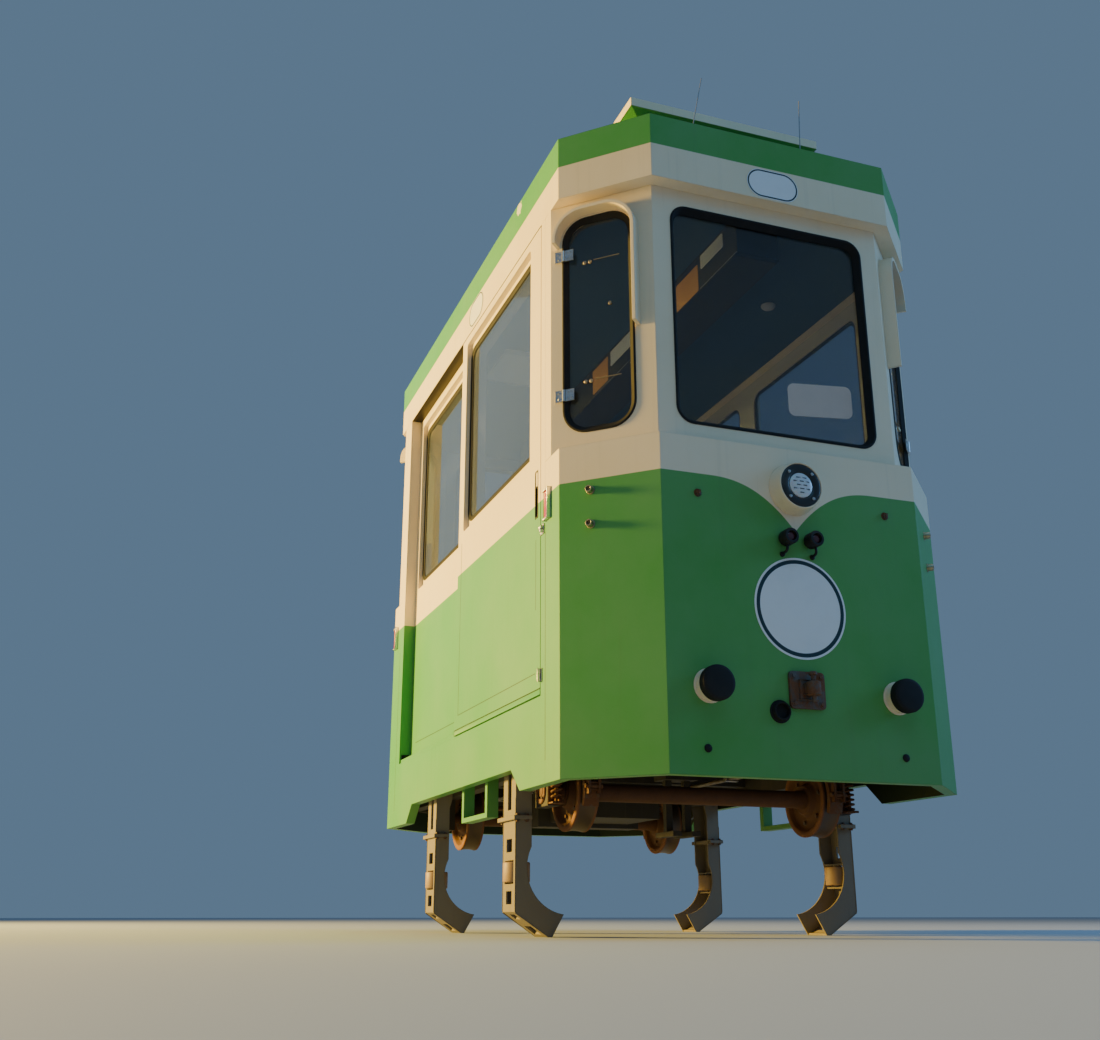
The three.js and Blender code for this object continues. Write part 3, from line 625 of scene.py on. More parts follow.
def window_rubber(name, theta, span, heights, radius, face, inset, body="car"):
    """One seal: the panel's face at n = face, the glass lying inset behind it."""
    bm = bmesh.new()
    outline = rounded_outline(span[0], span[1], heights[0], heights[1], radius)
    inner = RUBBER_LIP - RUBBER_WIDTH
    section = (
        (RUBBER_LIP, 0.0), (RUBBER_LIP, RUBBER_PROUD * 0.6), (RUBBER_LIP - 0.003, RUBBER_PROUD),
        (-0.003, RUBBER_PROUD), (-0.007, RUBBER_PROUD * 0.2), (inner + 0.004, -inset + 0.006),
        (inner, -inset + 0.003), (inner, -inset + 0.0002), (-0.0006, -inset + 0.0002), (-0.0006, 0.0),
    )
    swept_ring(bm, theta, face, outline, section)
    return add_piece(name, bm, seal_rubber, body)


ends = (("front", 0.0, 1), ("rear", math.pi, -1))
corners = [
    (f"{end}_{'left' if side > 0 else 'right'}", math.atan2(side, way), side * way)
    for end, _, way in ends for side in (1, -1)
]


def quarter_middle(hand):
    """Where the middle of a quarter window lies along its corner face."""
    return (QUARTER_MID - CORNER_U) * hand


for end, theta, _ in ends:
    window_rubber(f"{end}_window_rubber", theta, (-0.421, 0.421), (1.776, 2.672), 0.065, BODY_UP_L,
                  GLASS_INSETS["front"])
for corner, theta, hand in corners:
    at = quarter_middle(hand)
    window_rubber(f"{corner}_quarter_rubber", theta, (at - QUARTER_HALF, at + QUARTER_HALF), QUARTER_Z,
                  0.095, CORNER_N, GLASS_INSETS["quarter"])
for name, theta, span, face, body in (
    ("right_rear_window_rubber", RIGHT, (-1.035, -0.110), INSET_PANEL_Y, "car"),
    ("door_window_rubber", RIGHT, (0.042, 0.975), BODY_HALF_W, "door"),
    ("left_front_window_rubber", LEFT, (-0.975, -0.042), BODY_HALF_W, "car"),
    ("left_rear_window_rubber", LEFT, (0.110, 1.035), BODY_HALF_W, "car"),
):
    window_rubber(name, theta, span, SIDE_Z, 0.060, face - POCKET_DEPTH, GLASS_INSETS["side"], body)


# Screws and bolts: zinc cap screws, and rusty hexagon bolts, all on washers. Lists of spots say where
# they stand, and one node tree sets a head and a washer on each spot and turns it at random.
def screw_tree():
    """Stands a six-sided head on a washer at each point, facing along the point's own direction."""
    tree = bpy.data.node_groups.new("Screw heads", "GeometryNodeTree")
    for label, kind in (
        ("Points", "Geometry"), ("Head radius", "Float"), ("Head height", "Float"),
        ("Washer radius", "Float"), ("Sides", "Int"), ("Seed", "Int"), ("Metal", "Material"),
    ):
        tree.interface.new_socket(label, in_out="INPUT", socket_type="NodeSocket" + kind)
    tree.interface.new_socket("Screws", in_out="OUTPUT", socket_type="NodeSocketGeometry")

    def step(kind, **links):
        """One node with its inputs."""
        made = tree.nodes.new(kind)
        feed(tree, made, links)
        return made

    given = tree.nodes.new("NodeGroupInput").outputs
    head = step("GeometryNodeMeshCylinder", Vertices=given["Sides"], Radius=given["Head radius"],
                Depth=given["Head height"])
    up = step("ShaderNodeCombineXYZ", Z=math_node(tree, "MULTIPLY", given["Head height"], 0.75))
    raised = step("GeometryNodeTransform", Geometry=head.outputs["Mesh"], Translation=up.outputs[0])
    washer = step("GeometryNodeMeshCylinder", Vertices=20, Radius=given["Washer radius"],
                  Depth=math_node(tree, "MULTIPLY", given["Head height"], 0.5))
    both = tree.nodes.new("GeometryNodeJoinGeometry")
    tree.links.new(raised.outputs[0], both.inputs[0])
    tree.links.new(washer.outputs["Mesh"], both.inputs[0])
    facing = tree.nodes.new("GeometryNodeInputNamedAttribute")
    facing.data_type = "FLOAT_VECTOR"
    facing.inputs["Name"].default_value = "facing"
    turned = tree.nodes.new("FunctionNodeAlignRotationToVector")
    turned.axis = "Z"
    tree.links.new(facing.outputs["Attribute"], turned.inputs["Vector"])
    stood = step("GeometryNodeInstanceOnPoints", Points=given["Points"], Instance=both.outputs[0],
                 Rotation=turned.outputs[0])
    spin = tree.nodes.new("FunctionNodeRandomValue")
    spin.data_type = "FLOAT"
    spin.inputs["Max"].default_value = math.pi
    tree.links.new(given["Seed"], spin.inputs["Seed"])
    about = step("ShaderNodeCombineXYZ")
    tree.links.new(next(o for o in spin.outputs if o.enabled), about.inputs["Z"])
    spun = step("GeometryNodeRotateInstances", Instances=stood.outputs[0])
    tree.links.new(about.outputs[0], spun.inputs["Rotation"])
    real = step("GeometryNodeRealizeInstances", Geometry=spun.outputs[0])
    coated = step("GeometryNodeSetMaterial", Geometry=real.outputs[0], Material=given["Metal"])
    out = tree.nodes.new("NodeGroupOutput")
    tree.links.new(coated.outputs[0], out.inputs[0])
    return tree


SCREW_TREE = screw_tree()


def metal(name, color, roughness, rust, metallic=0.9, bump=0.25, scale=1.0):
    """Bare or plated metal with brown rust in patches and fine scratches."""
    made, tree, shader = material(name)
    place = node(tree, "TexCoord").outputs["Object"]
    cloud = noise(tree, place, 28.0 * scale, 8.0, 0.7)
    pit = noise(tree, place, 350.0 * scale, 3.0)
    spread = ramp(tree, cloud, (0.72 - 0.45 * rust, 0.86 - 0.40 * rust))
    old = mix_colors(tree, pit, (0.075, 0.028, 0.012, 1), (0.24, 0.10, 0.042, 1))
    smooth = ramp(tree, pit, to=(roughness - 0.08, roughness + 0.10))
    feed(tree, shader, {
        "Base Color": mix_colors(tree, spread, color, old),
        "Metallic": ramp(tree, spread, to=(metallic, 0.05)),
        "Roughness": ramp(tree, spread, to=(smooth, 0.85)),
    })
    set_bump(tree, shader, bump, 0.0008, math_node(tree, "ADD", pit, spread), 0.0015)
    return made


zinc = metal("zinc plate", (0.50, 0.50, 0.49, 1), 0.38, rust=0.12)
rusty_steel = metal("rusty steel", (0.13, 0.12, 0.11, 1), 0.6, rust=0.75, metallic=0.7)


def laid_out(name, data, tree, values, body):
    """What a node tree makes of a mesh, as one plain mesh piece."""
    holder = bpy.data.objects.new(name + "_holder", data)
    bpy.context.scene.collection.objects.link(holder)
    layout = holder.modifiers.new("layout", "NODES")
    layout.node_group = tree
    named = {i.name: i.identifier for i in tree.interface.items_tree if i.in_out == "INPUT"}
    for label, value in values.items():
        layout[named[label]] = value
    bpy.context.view_layer.update()
    graph = bpy.context.evaluated_depsgraph_get()
    plain = bpy.data.meshes.new_from_object(holder.evaluated_get(graph))
    bpy.data.objects.remove(holder)
    bpy.data.meshes.remove(data)
    plain.name = name
    made = bpy.data.objects.new(name, plain)
    bpy.context.scene.collection.objects.link(made)
    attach(made, body)
    return made


def screws(name, spots, head, height, washer, finish, seed, sides=6, body="car"):
    """Screw heads at spots of (point, facing), as one plain mesh."""
    data = bpy.data.meshes.new(name + "_points")
    data.from_pydata([tuple(point) for point, _ in spots], [], [])
    facing = data.attributes.new("facing", "FLOAT_VECTOR", "POINT")
    facing.data.foreach_set("vector", [c for _, way in spots for c in way])
    data.materials.append(finish)
    return laid_out(name, data, SCREW_TREE, {
        "Head radius": head, "Head height": height, "Washer radius": washer,
        "Sides": sides, "Seed": seed, "Metal": finish,
    }, body)


# Quarter window fittings: each small corner window hangs on two bright hinges at the edge towards the
# side, and is held shut by two stays with domed screw caps.
HINGE_Z = (1.927, 2.518)
HINGE_LEAF = (0.034, 0.046, 0.0025)
STAY_Z = (1.976, 2.479)
STAY_IN = 0.060
PEG_AT = (0.045, 2.283)
bright_steel = metal("bright hinge steel", (0.66, 0.66, 0.65, 1), 0.28, rust=0.03)


def soft_box(bm, low, high, theta, bevel, segments=2):
    """A box with eased edges. Its corners are (along, outward, up) on a panel that faces theta."""
    fresh = bmesh.ops.create_cube(bm, size=1.0)["verts"]
    size = [high[i] - low[i] for i in range(3)]
    mid = [(high[i] + low[i]) / 2 for i in range(3)]
    for vert in fresh:
        u, n, z = (vert.co[i] * size[i] + mid[i] for i in range(3))
        vert.co = panel_point(theta, u, z, n)
    edges = {edge for vert in fresh for edge in vert.link_edges}
    bmesh.ops.bevel(bm, geom=list(edges), offset=bevel, segments=segments, affect="EDGES", profile=0.5)


def lathe(bm, profile, origin, axis, steps):
    """Turns (along, radius) points about an axis through origin. A radius of 0 closes an end."""
    axis = Vector(axis).normalized()
    first = axis.orthogonal().normalized()
    second = axis.cross(first)
    origin = Vector(origin)
    rings = []
    for along, radius in profile:
        centre = origin + axis * along
        if radius <= 0:
            rings.append([bm.verts.new(centre)])
            continue
        rings.append([
            bm.verts.new(centre + (first * math.cos(t) + second * math.sin(t)) * radius)
            for t in (2 * math.pi * i / steps for i in range(steps))
        ])
    for a, b in zip(rings, rings[1:]):
        for i in range(steps):
            j = (i + 1) % steps
            corners_of = [a[i % len(a)], a[j % len(a)], b[j % len(b)], b[i % len(b)]]
            unique = list(dict.fromkeys(corners_of))
            if len(unique) > 2:
                bm.faces.new(unique)


hinges = bmesh.new()
caps = []
for _, theta, hand in corners:
    edge = quarter_middle(hand) + hand * QUARTER_HALF
    for z in HINGE_Z:
        half = HINGE_LEAF[1] / 2
        for start, end in ((-0.010, -0.010 - HINGE_LEAF[0]), (0.004, 0.004 + HINGE_LEAF[0] * 0.8)):
            span = sorted((edge + hand * start, edge + hand * end))
            soft_box(hinges, (span[0], CORNER_N + 0.0045, z - half), (span[1], CORNER_N + 0.0075, z + half),
                     theta, 0.0012)
        lathe(hinges, [(-half, 0), (-half, 0.006), (half, 0.006), (half, 0)],
              panel_point(theta, edge - hand * 0.003, z, CORNER_N + 0.008), (0, 0, 1), 16)
        for start in (-0.020, -0.034, 0.018):
            for up in (-0.012, 0.012):
                caps.append((panel_point(theta, edge + hand * start, z + up, CORNER_N + 0.0075),
                             panel_point(theta, 0, 0, 1)))
add_piece("quarter_window_hinges", hinges, bright_steel)
screws("quarter_window_hinge_screws", caps, 0.0035, 0.0015, 0.0045, zinc, sides=12, seed=3)

stays = bmesh.new()
glass_n = CORNER_N - GLASS_INSETS["quarter"]
for _, theta, hand in corners:
    at = quarter_middle(hand)
    facing = panel_point(theta, 0, 0, 1)
    for z in STAY_Z:
        for off in (0.002, 0.024):
            cap_at = panel_point(theta, at + hand * (STAY_IN - off), z, glass_n)
            lathe(stays, [(0, 0.008), (0.003, 0.0078), (0.006, 0.005), (0.007, 0)], cap_at, facing, 18)
        span = sorted((at + hand * 0.020, at - hand * 0.085))
        soft_box(stays, (span[0], glass_n + 0.0002, z + 0.004), (span[1], glass_n + 0.0022, z + 0.0065),
                 theta, 0.0006, 1)
    peg_at = panel_point(theta, at - hand * PEG_AT[0], PEG_AT[1], glass_n)
    lathe(stays, [(0, 0.0075), (0.004, 0.007), (0.006, 0)], peg_at, facing, 18)
add_piece("quarter_window_stays", stays, metal("stay brass", (0.52, 0.40, 0.24, 1), 0.35, rust=0.05))


# Head lamps: a cream moulded collar that flares to the panel, a black bezel held by four screws, and a
# white lens with a pattern of slots. One stands at each end of the car.
LOWER_N = 1.575
LAMP_Z = 1.540
LAMP_FOOT = 0.098
LAMP_FACE = 0.088
LAMP_REACH = 0.060
BEZEL_R = 0.081
LENS_R = 0.047
SLOT_SIZE = (0.017, 0.0036)
SLOT_SPOTS = (
    (-0.012, 0.027), (0.012, 0.027), (-0.024, 0.013), (0.0, 0.013), (0.024, 0.013), (-0.012, -0.001),
    (0.012, -0.001), (-0.024, -0.015), (0.0, -0.015), (0.024, -0.015), (0.0, -0.029),
)


def plastic(name, color, roughness, film, bump=0.12):
    """Moulded plastic: fine grain, slightly cloudy, with thin dirt in patches."""
    made, tree, shader = material(name)
    place = node(tree, "TexCoord").outputs["Object"]
    cloud = noise(tree, place, 7.0, 6.0, 0.65)
    fine = noise(tree, place, 600.0, 2.0)
    duller = tuple(c * 0.80 for c in color[:3]) + (1,)
    tone = mix_colors(tree, cloud, duller, color)
    share = math_node(tree, "MULTIPLY", ramp(tree, cloud, (0.50, 0.78)), film)
    feed(tree, shader, {
        "Base Color": mix_colors(tree, share, tone, SOIL_COLOR),
        "Roughness": ramp(tree, cloud, to=(roughness, min(roughness + 0.18, 1.0))),
        "Specular IOR Level": 0.3,
    })
    set_bump(tree, shader, bump, 0.0006, fine)
    return made, shader


def plate(bm, theta, outline, back, front):
    """A flat plate with that outline, between two distances from the middle of the car."""
    low = [bm.verts.new(panel_point(theta, u, z, back)) for (u, z), _ in outline]
    high = [bm.verts.new(panel_point(theta, u, z, front)) for (u, z), _ in outline]
    bm.faces.new(low)
    bm.faces.new(high)
    for i in range(len(low)):
        j = (i + 1) % len(low)
        bm.faces.new((low[i], low[j], high[j], high[i]))


bezel_plastic, bezel_shader = plastic("black lamp plastic", (0.022, 0.024, 0.026, 1), 0.28, film=0.35)
bezel_shader.inputs["Coat Weight"].default_value = 0.4
lens_plastic, lens_shader = plastic("white lens", (0.72, 0.76, 0.80, 1), 0.22, bump=0.05, film=0.05)
lens_shader.inputs["Subsurface Weight"].default_value = 0.15
lens_shader.inputs["Subsurface Scale"].default_value = 0.01
lens_shader.inputs["Coat Weight"].default_value = 0.7
slot_plastic, _ = plastic("lens slots", (0.13, 0.15, 0.17, 1), 0.4, film=0.0)
lamp_cream = plain_paint("lamp cream paint", CREAM, Streaks=0.5, Specks=0.25)

for end, theta, _ in ends:
    facing = panel_point(theta, 0, 0, 1)
    lamp_foot = panel_point(theta, 0, LAMP_Z, LOWER_N)
    collar = bmesh.new()
    lathe(collar, [
        (0.0004, 0), (0.0004, LAMP_FOOT), (0.005, LAMP_FOOT), (0.012, LAMP_FOOT - 0.003),
        (LAMP_REACH - 0.008, LAMP_FACE + 0.001), (LAMP_REACH - 0.002, LAMP_FACE - 0.001),
        (LAMP_REACH, LAMP_FACE - 0.003), (LAMP_REACH, BEZEL_R + 0.002),
        (LAMP_REACH - 0.003, BEZEL_R + 0.0005), (LAMP_REACH - 0.012, BEZEL_R), (LAMP_REACH - 0.012, 0),
    ], lamp_foot, facing, 72)
    made = add_piece(f"{end}_lamp_collar", collar, lamp_cream)
    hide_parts(f"{end}_head_lamp")
    bezel = bmesh.new()
    lathe(bezel, [
        (0.0482, 0), (0.0482, BEZEL_R), (0.0560, BEZEL_R), (0.0590, BEZEL_R - 0.003),
        (0.0600, BEZEL_R - 0.006), (0.0600, LENS_R + 0.008), (0.0575, LENS_R + 0.002), (0.0555, LENS_R),
        (0.0545, LENS_R - 0.001), (0.0545, 0),
    ], lamp_foot, facing, 72)
    add_piece(f"{end}_lamp_bezel", bezel, bezel_plastic)
    lens = bmesh.new()
    lathe(lens, [
        (0.0547, 0), (0.0547, LENS_R - 0.0005), (0.0575, LENS_R - 0.001), (0.0600, LENS_R - 0.005),
        (0.0625, LENS_R * 0.65), (0.0640, LENS_R * 0.3), (0.0644, 0),
    ], lamp_foot, facing, 64)
    add_piece(f"{end}_lamp_lens", lens, lens_plastic)
    slots = bmesh.new()
    for u, z in SLOT_SPOTS:
        rise = 0.0645 - 0.0045 * (math.hypot(u, z) / LENS_R) ** 2
        half_u, half_z = SLOT_SIZE[0] / 2, SLOT_SIZE[1] / 2
        soft_box(slots, (u - half_u, LOWER_N + rise - 0.003, LAMP_Z + z - half_z),
                 (u + half_u, LOWER_N + rise, LAMP_Z + z + half_z), theta, 0.0008, 1)
    add_piece(f"{end}_lamp_slots", slots, slot_plastic)
    round_r = (LENS_R + BEZEL_R) / 2 + 0.002
    spots = []
    for i in range(4):
        t = math.radians(45 + 90 * i)
        u, z = round_r * math.cos(t), LAMP_Z + round_r * math.sin(t)
        spots.append((panel_point(theta, u, z, LOWER_N + LAMP_REACH), facing))
    screws(f"{end}_lamp_screws", spots, 0.0045, 0.003, 0.0058, zinc, sides=12, seed=5)


# Twin pods: two short black barrels with a deep-set dark red eye stand side by side under each head
# lamp, each with a stiff lead that bends back into the panel.
POD_Y = 0.051
POD_Z = 1.347
POD_R = 0.029
POD_REACH = 0.060
LEAD_R = 0.005


def pipe(bm, points, radius, bend, sides=12, arc=6):
    """A rigid pipe through points, its corners rounded, its ends closed."""
    points = [Vector(p) for p in points]
    path = [points[0]]
    for before, at, after in zip(points, points[1:], points[2:]):
        back, ahead = (before - at).normalized(), (after - at).normalized()
        reach = min(bend, (before - at).length * 0.49, (after - at).length * 0.49)
        start, end_point = at + back * reach, at + ahead * reach
        for i in range(arc + 1):
            t = i / arc
            path.append(start * (1 - t) ** 2 + at * 2 * t * (1 - t) + end_point * t ** 2)
    path.append(points[-1])
    way = (path[1] - path[0]).normalized()
    first = way.orthogonal().normalized()
    rings = []
    for i, point in enumerate(path):
        ahead = (path[min(i + 1, len(path) - 1)] - path[max(i - 1, 0)]).normalized()
        first = (first - ahead * first.dot(ahead)).normalized()
        second = ahead.cross(first)
        rings.append([
            bm.verts.new(point + (first * math.cos(t) + second * math.sin(t)) * radius)
            for t in (2 * math.pi * k / sides for k in range(sides))
        ])
    for a, b in zip(rings, rings[1:]):
        for k in range(sides):
            j = (k + 1) % sides
            bm.faces.new((a[k], a[j], b[j], b[k]))
    bm.faces.new(rings[0])
    bm.faces.new(rings[-1])


pod_plastic, _ = plastic("pod plastic", (0.012, 0.012, 0.013, 1), 0.42, film=0.3)
eye_glass, eye_shader = plastic("dark red eye", (0.075, 0.012, 0.020, 1), 0.12, bump=0.02, film=0.1)
eye_shader.inputs["Coat Weight"].default_value = 1.0
for end, theta, _ in ends:
    facing = panel_point(theta, 0, 0, 1)
    barrels, eyes, leads = bmesh.new(), bmesh.new(), bmesh.new()
    for u in (-POD_Y, POD_Y):
        foot = panel_point(theta, u, POD_Z, LOWER_N)
        lathe(barrels, [
            (0.0004, 0), (0.0004, 0.020), (0.006, 0.020), (0.010, POD_R - 0.004), (0.014, POD_R),
            (POD_REACH - 0.004, POD_R), (POD_REACH, POD_R - 0.003), (POD_REACH, 0.0185),
            (0.048, 0.0165), (0.048, 0),
        ], foot, facing, 40)
        eye = [(0.0482, 0), (0.0482, 0.016), (0.0515, 0.0145), (0.0535, 0.008), (0.054, 0)]
        lathe(eyes, eye, foot, facing, 32)
        out = 1 if u > 0 else -1
        lead_u, lead_z = u + out * 0.010, POD_Z - POD_R - 0.026
        pipe(leads, [
            panel_point(theta, u + out * 0.006, POD_Z - POD_R + 0.003, LOWER_N + 0.034),
            panel_point(theta, u + out * 0.008, POD_Z - POD_R - 0.020, LOWER_N + 0.034),
            panel_point(theta, lead_u, lead_z, LOWER_N + 0.0004),
        ], LEAD_R, 0.014)
        lathe(leads, [(0.0004, 0), (0.0004, 0.010), (0.006, 0.009), (0.008, 0.0055), (0.008, 0)],
              panel_point(theta, lead_u, lead_z, LOWER_N), facing, 20)
    add_piece(f"{end}_pods", barrels, pod_plastic)
    add_piece(f"{end}_pod_eyes", eyes, eye_glass)
    add_piece(f"{end}_pod_leads", leads, pod_plastic)


# Blank signs: a round white plate with a dark ring on each end panel, and small white plates with
# round ends and a dark outline on the cornice. All are thin stuck-on film, a little dirty.
DISC_Z = 1.101
DISC_R = 0.183
RING = (0.161, 0.175)
CORNICE_SIGN = (0.114, 0.064)
END_SIGN_Z = 2.816
SIDE_SIGN = (0.180, 2.822)
FILM = 0.0011

sign_white, _ = plastic("white sign film", (0.90, 0.91, 0.92, 1), 0.42, bump=0.05, film=0.06)
sign_dark, _ = plastic("dark sign line", (0.018, 0.045, 0.055, 1), 0.45, bump=0.05, film=0.1)
for end, theta, _ in ends:
    facing = panel_point(theta, 0, 0, 1)
    at = panel_point(theta, 0, DISC_Z, LOWER_N)
    disc, ring = bmesh.new(), bmesh.new()
    lathe(disc, [(0.0003, 0), (0.0003, DISC_R), (FILM, DISC_R - 0.0004), (FILM, 0)], at, facing, 96)
    lathe(ring, [(FILM, RING[0]), (FILM + 0.0005, RING[0] + 0.0003), (FILM + 0.0005, RING[1] - 0.0003),
                 (FILM, RING[1]), (FILM, RING[0])], at, facing, 96)
    add_piece(f"{end}_disc", disc, sign_white)
    add_piece(f"{end}_disc_ring", ring, sign_dark)

signs, outlines = bmesh.new(), bmesh.new()
for theta, face, u, z in (
    (0.0, LOWER_N, 0.0, END_SIGN_Z), (math.pi, LOWER_N, 0.0, END_SIGN_Z),
    (RIGHT, BODY_HALF_W, *SIDE_SIGN), (LEFT, BODY_HALF_W, -SIDE_SIGN[0], SIDE_SIGN[1]),
):
    half_u, half_z = CORNICE_SIGN
    rim = rounded_outline(u - half_u, u + half_u, z - half_z, z + half_z, half_z - 0.0001, 16)
    plate(signs, theta, rim, face + 0.0003, face + FILM)
    swept_ring(outlines, theta, face + FILM, rim,
               ((-0.0030, 0.0), (-0.0033, 0.0005), (-0.0087, 0.0005), (-0.0090, 0.0)))
add_piece("cornice_signs", signs, sign_white, sharp=20)
add_piece("cornice_sign_outlines", outlines, sign_dark)


# End panel fixings: a square nut high up and a domed dark plug low down on each side of the end
# panels, and two hollow brass studs one above the other on each corner panel.
NUT_AT = (0.385, 1.484)
NUT_HALF = 0.009
PLUG_AT = (0.384, 0.598)
STUD_AT = {"right": (0.477, (1.516, 1.389)), "left": (0.560, (1.474, 1.346))}
LOWER_CORNER_N = 2.1 / math.sqrt(2)

stud_brass = metal("stud brass", (0.46, 0.40, 0.26, 1), 0.38, rust=0.15)
nuts, plugs, studs = bmesh.new(), bmesh.new(), bmesh.new()
for _, theta, _ in ends:
    facing = panel_point(theta, 0, 0, 1)
    for way in (-1, 1):
        u, z = way * NUT_AT[0], NUT_AT[1]
        at = panel_point(theta, u, z, LOWER_N)
        lathe(nuts, [(0.0004, 0), (0.0004, 0.015), (0.002, 0.0145), (0.002, 0)], at, facing, 24)
        soft_box(nuts, (u - NUT_HALF, LOWER_N + 0.0021, z - NUT_HALF),
                 (u + NUT_HALF, LOWER_N + 0.010, z + NUT_HALF), theta, 0.0012)
        stub = [(0.010, 0), (0.010, 0.005), (0.014, 0.005), (0.015, 0.004), (0.015, 0)]
        lathe(nuts, stub, at, facing, 16)
        lathe(plugs, [(0.0004, 0), (0.0004, 0.014), (0.003, 0.0135), (0.006, 0.009), (0.007, 0)],
              panel_point(theta, way * PLUG_AT[0], PLUG_AT[1], LOWER_N), facing, 24)
for corner, theta, hand in corners:
    facing = panel_point(theta, 0, 0, 1)
    u, heights = STUD_AT[corner.split("_")[1]]
    for z in heights:
        lathe(studs, [
            (0.0004, 0), (0.0004, 0.0165), (0.003, 0.016), (0.003, 0.0135), (0.021, 0.0135),
            (0.024, 0.0120), (0.024, 0.0082), (0.010, 0.0076), (0.010, 0),
        ], panel_point(theta, -hand * u, z, LOWER_CORNER_N), facing, 28)
add_piece("end_panel_nuts", nuts, rusty_steel)
add_piece("end_panel_plugs", plugs, seal_rubber)
add_piece("corner_studs", studs, stud_brass)


# Buffers: a cream painted collar on each side of the end panels carries a thick black rubber pad with
# a rounded face.
BUFFER_Y = 0.370
BUFFER_Z = 0.805
BUFFER_R = 0.060
BUFFER_REACH = 0.078

pad_rubber = rubber("buffer rubber", (0.013, 0.013, 0.014, 1), 0.2)
for end, theta, way in ends:
    facing = panel_point(theta, 0, 0, 1)
    for hand, side in ((1, "left"), (-1, "right")):
        at = panel_point(theta, BUFFER_Y * hand * way, BUFFER_Z, LOWER_N)
        collar, pad = bmesh.new(), bmesh.new()
        lathe(collar, [
            (0.0004, 0), (0.0004, BUFFER_R - 0.001), (0.003, BUFFER_R - 0.001), (0.003, BUFFER_R - 0.008),
            (0.040, BUFFER_R - 0.009), (0.040, 0),
        ], at, facing, 56)
        lathe(pad, [
            (0.0402, 0), (0.0402, BUFFER_R - 0.005), (0.042, BUFFER_R - 0.001), (0.045, BUFFER_R),
            (BUFFER_REACH - 0.012, BUFFER_R), (BUFFER_REACH - 0.005, BUFFER_R - 0.002),
            (BUFFER_REACH - 0.001, BUFFER_R - 0.008), (BUFFER_REACH, BUFFER_R - 0.014), (BUFFER_REACH, 0),
        ], at, facing, 56)
        base = add_piece(f"{end}_buffer_{side}_collar", collar, lamp_cream)
        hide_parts(f"{end}_buffer_{side}")
        add_piece(f"{end}_buffer_{side}_pad", pad, pad_rubber)


# Coupler and socket: a rusty forged eye on a plate that four bolts hold to each end panel, with an
# upright pin through it, and beside it a round black socket in a rubber flange.
SOCKET_AT = (0.106, 0.733)
SOCKET_R = 0.034
COUPLER_Z = 0.810
COUPLER_PLATE = (0.069, 0.064, 0.0117)
COUPLER_EYE = (0.050, 0.0245, 0.024)
COUPLER_PIN = (0.0085, 0.764, 0.105)

for end, theta, _ in ends:
    facing = panel_point(theta, 0, 0, 1)
    socket = bmesh.new()
    at = panel_point(theta, -SOCKET_AT[0], SOCKET_AT[1], LOWER_N)
    lathe(socket, [
        (0.0004, 0), (0.0004, SOCKET_R + 0.006), (0.004, SOCKET_R + 0.005), (0.005, SOCKET_R),
        (0.018, SOCKET_R - 0.002), (0.020, SOCKET_R - 0.004), (0.020, SOCKET_R - 0.008),
        (0.006, SOCKET_R - 0.010), (0.006, 0),
    ], at, facing, 40)
    add_piece(f"{end}_socket", socket, pad_rubber)
    half, tall, thick = COUPLER_PLATE
    forged = bmesh.new()
    plate(forged, theta, rounded_outline(-half, half, COUPLER_Z - tall, COUPLER_Z + tall, 0.014, 5),
          LOWER_N + 0.0004, LOWER_N + thick)
    soft_box(forged, (-0.034, LOWER_N + thick - 0.001, COUPLER_Z - 0.034),
             (0.034, LOWER_N + thick + 0.008, COUPLER_Z + 0.034), theta, 0.004)
    soft_box(forged, (-0.020, LOWER_N + thick + 0.006, COUPLER_Z - 0.019),
             (0.020, LOWER_N + COUPLER_EYE[0] - 0.004, COUPLER_Z + 0.019), theta, 0.005)
    reach, radius, rise = COUPLER_EYE
    lathe(forged, [
        (0, 0), (0, radius - 0.004), (0.003, radius),
        (2 * rise - 0.003, radius), (2 * rise, radius - 0.004), (2 * rise, 0),
    ], panel_point(theta, 0, COUPLER_Z - rise, LOWER_N + reach), (0, 0, 1), 32)
    radius, foot_z, length = COUPLER_PIN
    pin_foot = panel_point(theta, 0, foot_z, LOWER_N + reach)
    lathe(forged, [
        (0, 0), (0, radius - 0.001), (0.002, radius), (length - 0.013, radius),
        (length - 0.013, 0.0145), (length - 0.005, 0.0145), (length - 0.001, 0.011), (length, 0),
    ], pin_foot, (0, 0, 1), 24)
    lathe(forged, [(-0.015, 0), (-0.015, 0.0020), (0.015, 0.0020), (0.015, 0)],
          pin_foot + Vector((0, 0, 0.006)), panel_point(theta, 1, 0, 0), 10)
    made = add_piece(f"{end}_coupler_forging", forged, rusty_steel)
    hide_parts(f"{end}_coupler")
    screws(f"{end}_coupler_bolts", [
        (panel_point(theta, u, COUPLER_Z + z, LOWER_N + thick), facing)
        for u in (-0.053, 0.053) for z in (-0.047, 0.047)
    ], 0.007, 0.005, 0.0115, rusty_steel, seed=9)


# Side hardware: a red reflector in a bright pressed frame near each end of the car's sides, a small
# latch on the post behind the door's edge and a guide bracket at its foot. The door has a sweep along
# its lower edge and a moulded cup to pull it by, and a rubber stop stands behind the end of its rail.
REFLECTOR_X = (1.184, -1.250)
REFLECTOR_Z = 1.518
REFLECTOR_SIZE = (0.046, 0.104)
REFLECTOR_FRAME = 0.007
LATCH = ((1.108, 1.146), (1.418, 1.456))
FOOT_BRACKET = ((1.108, 1.126), (0.872, 0.918))
SWEEP = ((-0.032, -0.7995, 0.8285), (1.100, -0.7935, 0.8490))
RAIL_STOP = ((-1.0830, -0.7880, 0.8450), (-1.0755, -0.7520, 0.8680))
PULL = ((1.0405, 1.0745), (1.5025, 1.6925))
PULL_DEPTH = 0.024
PULL_LIP_Z = 1.630

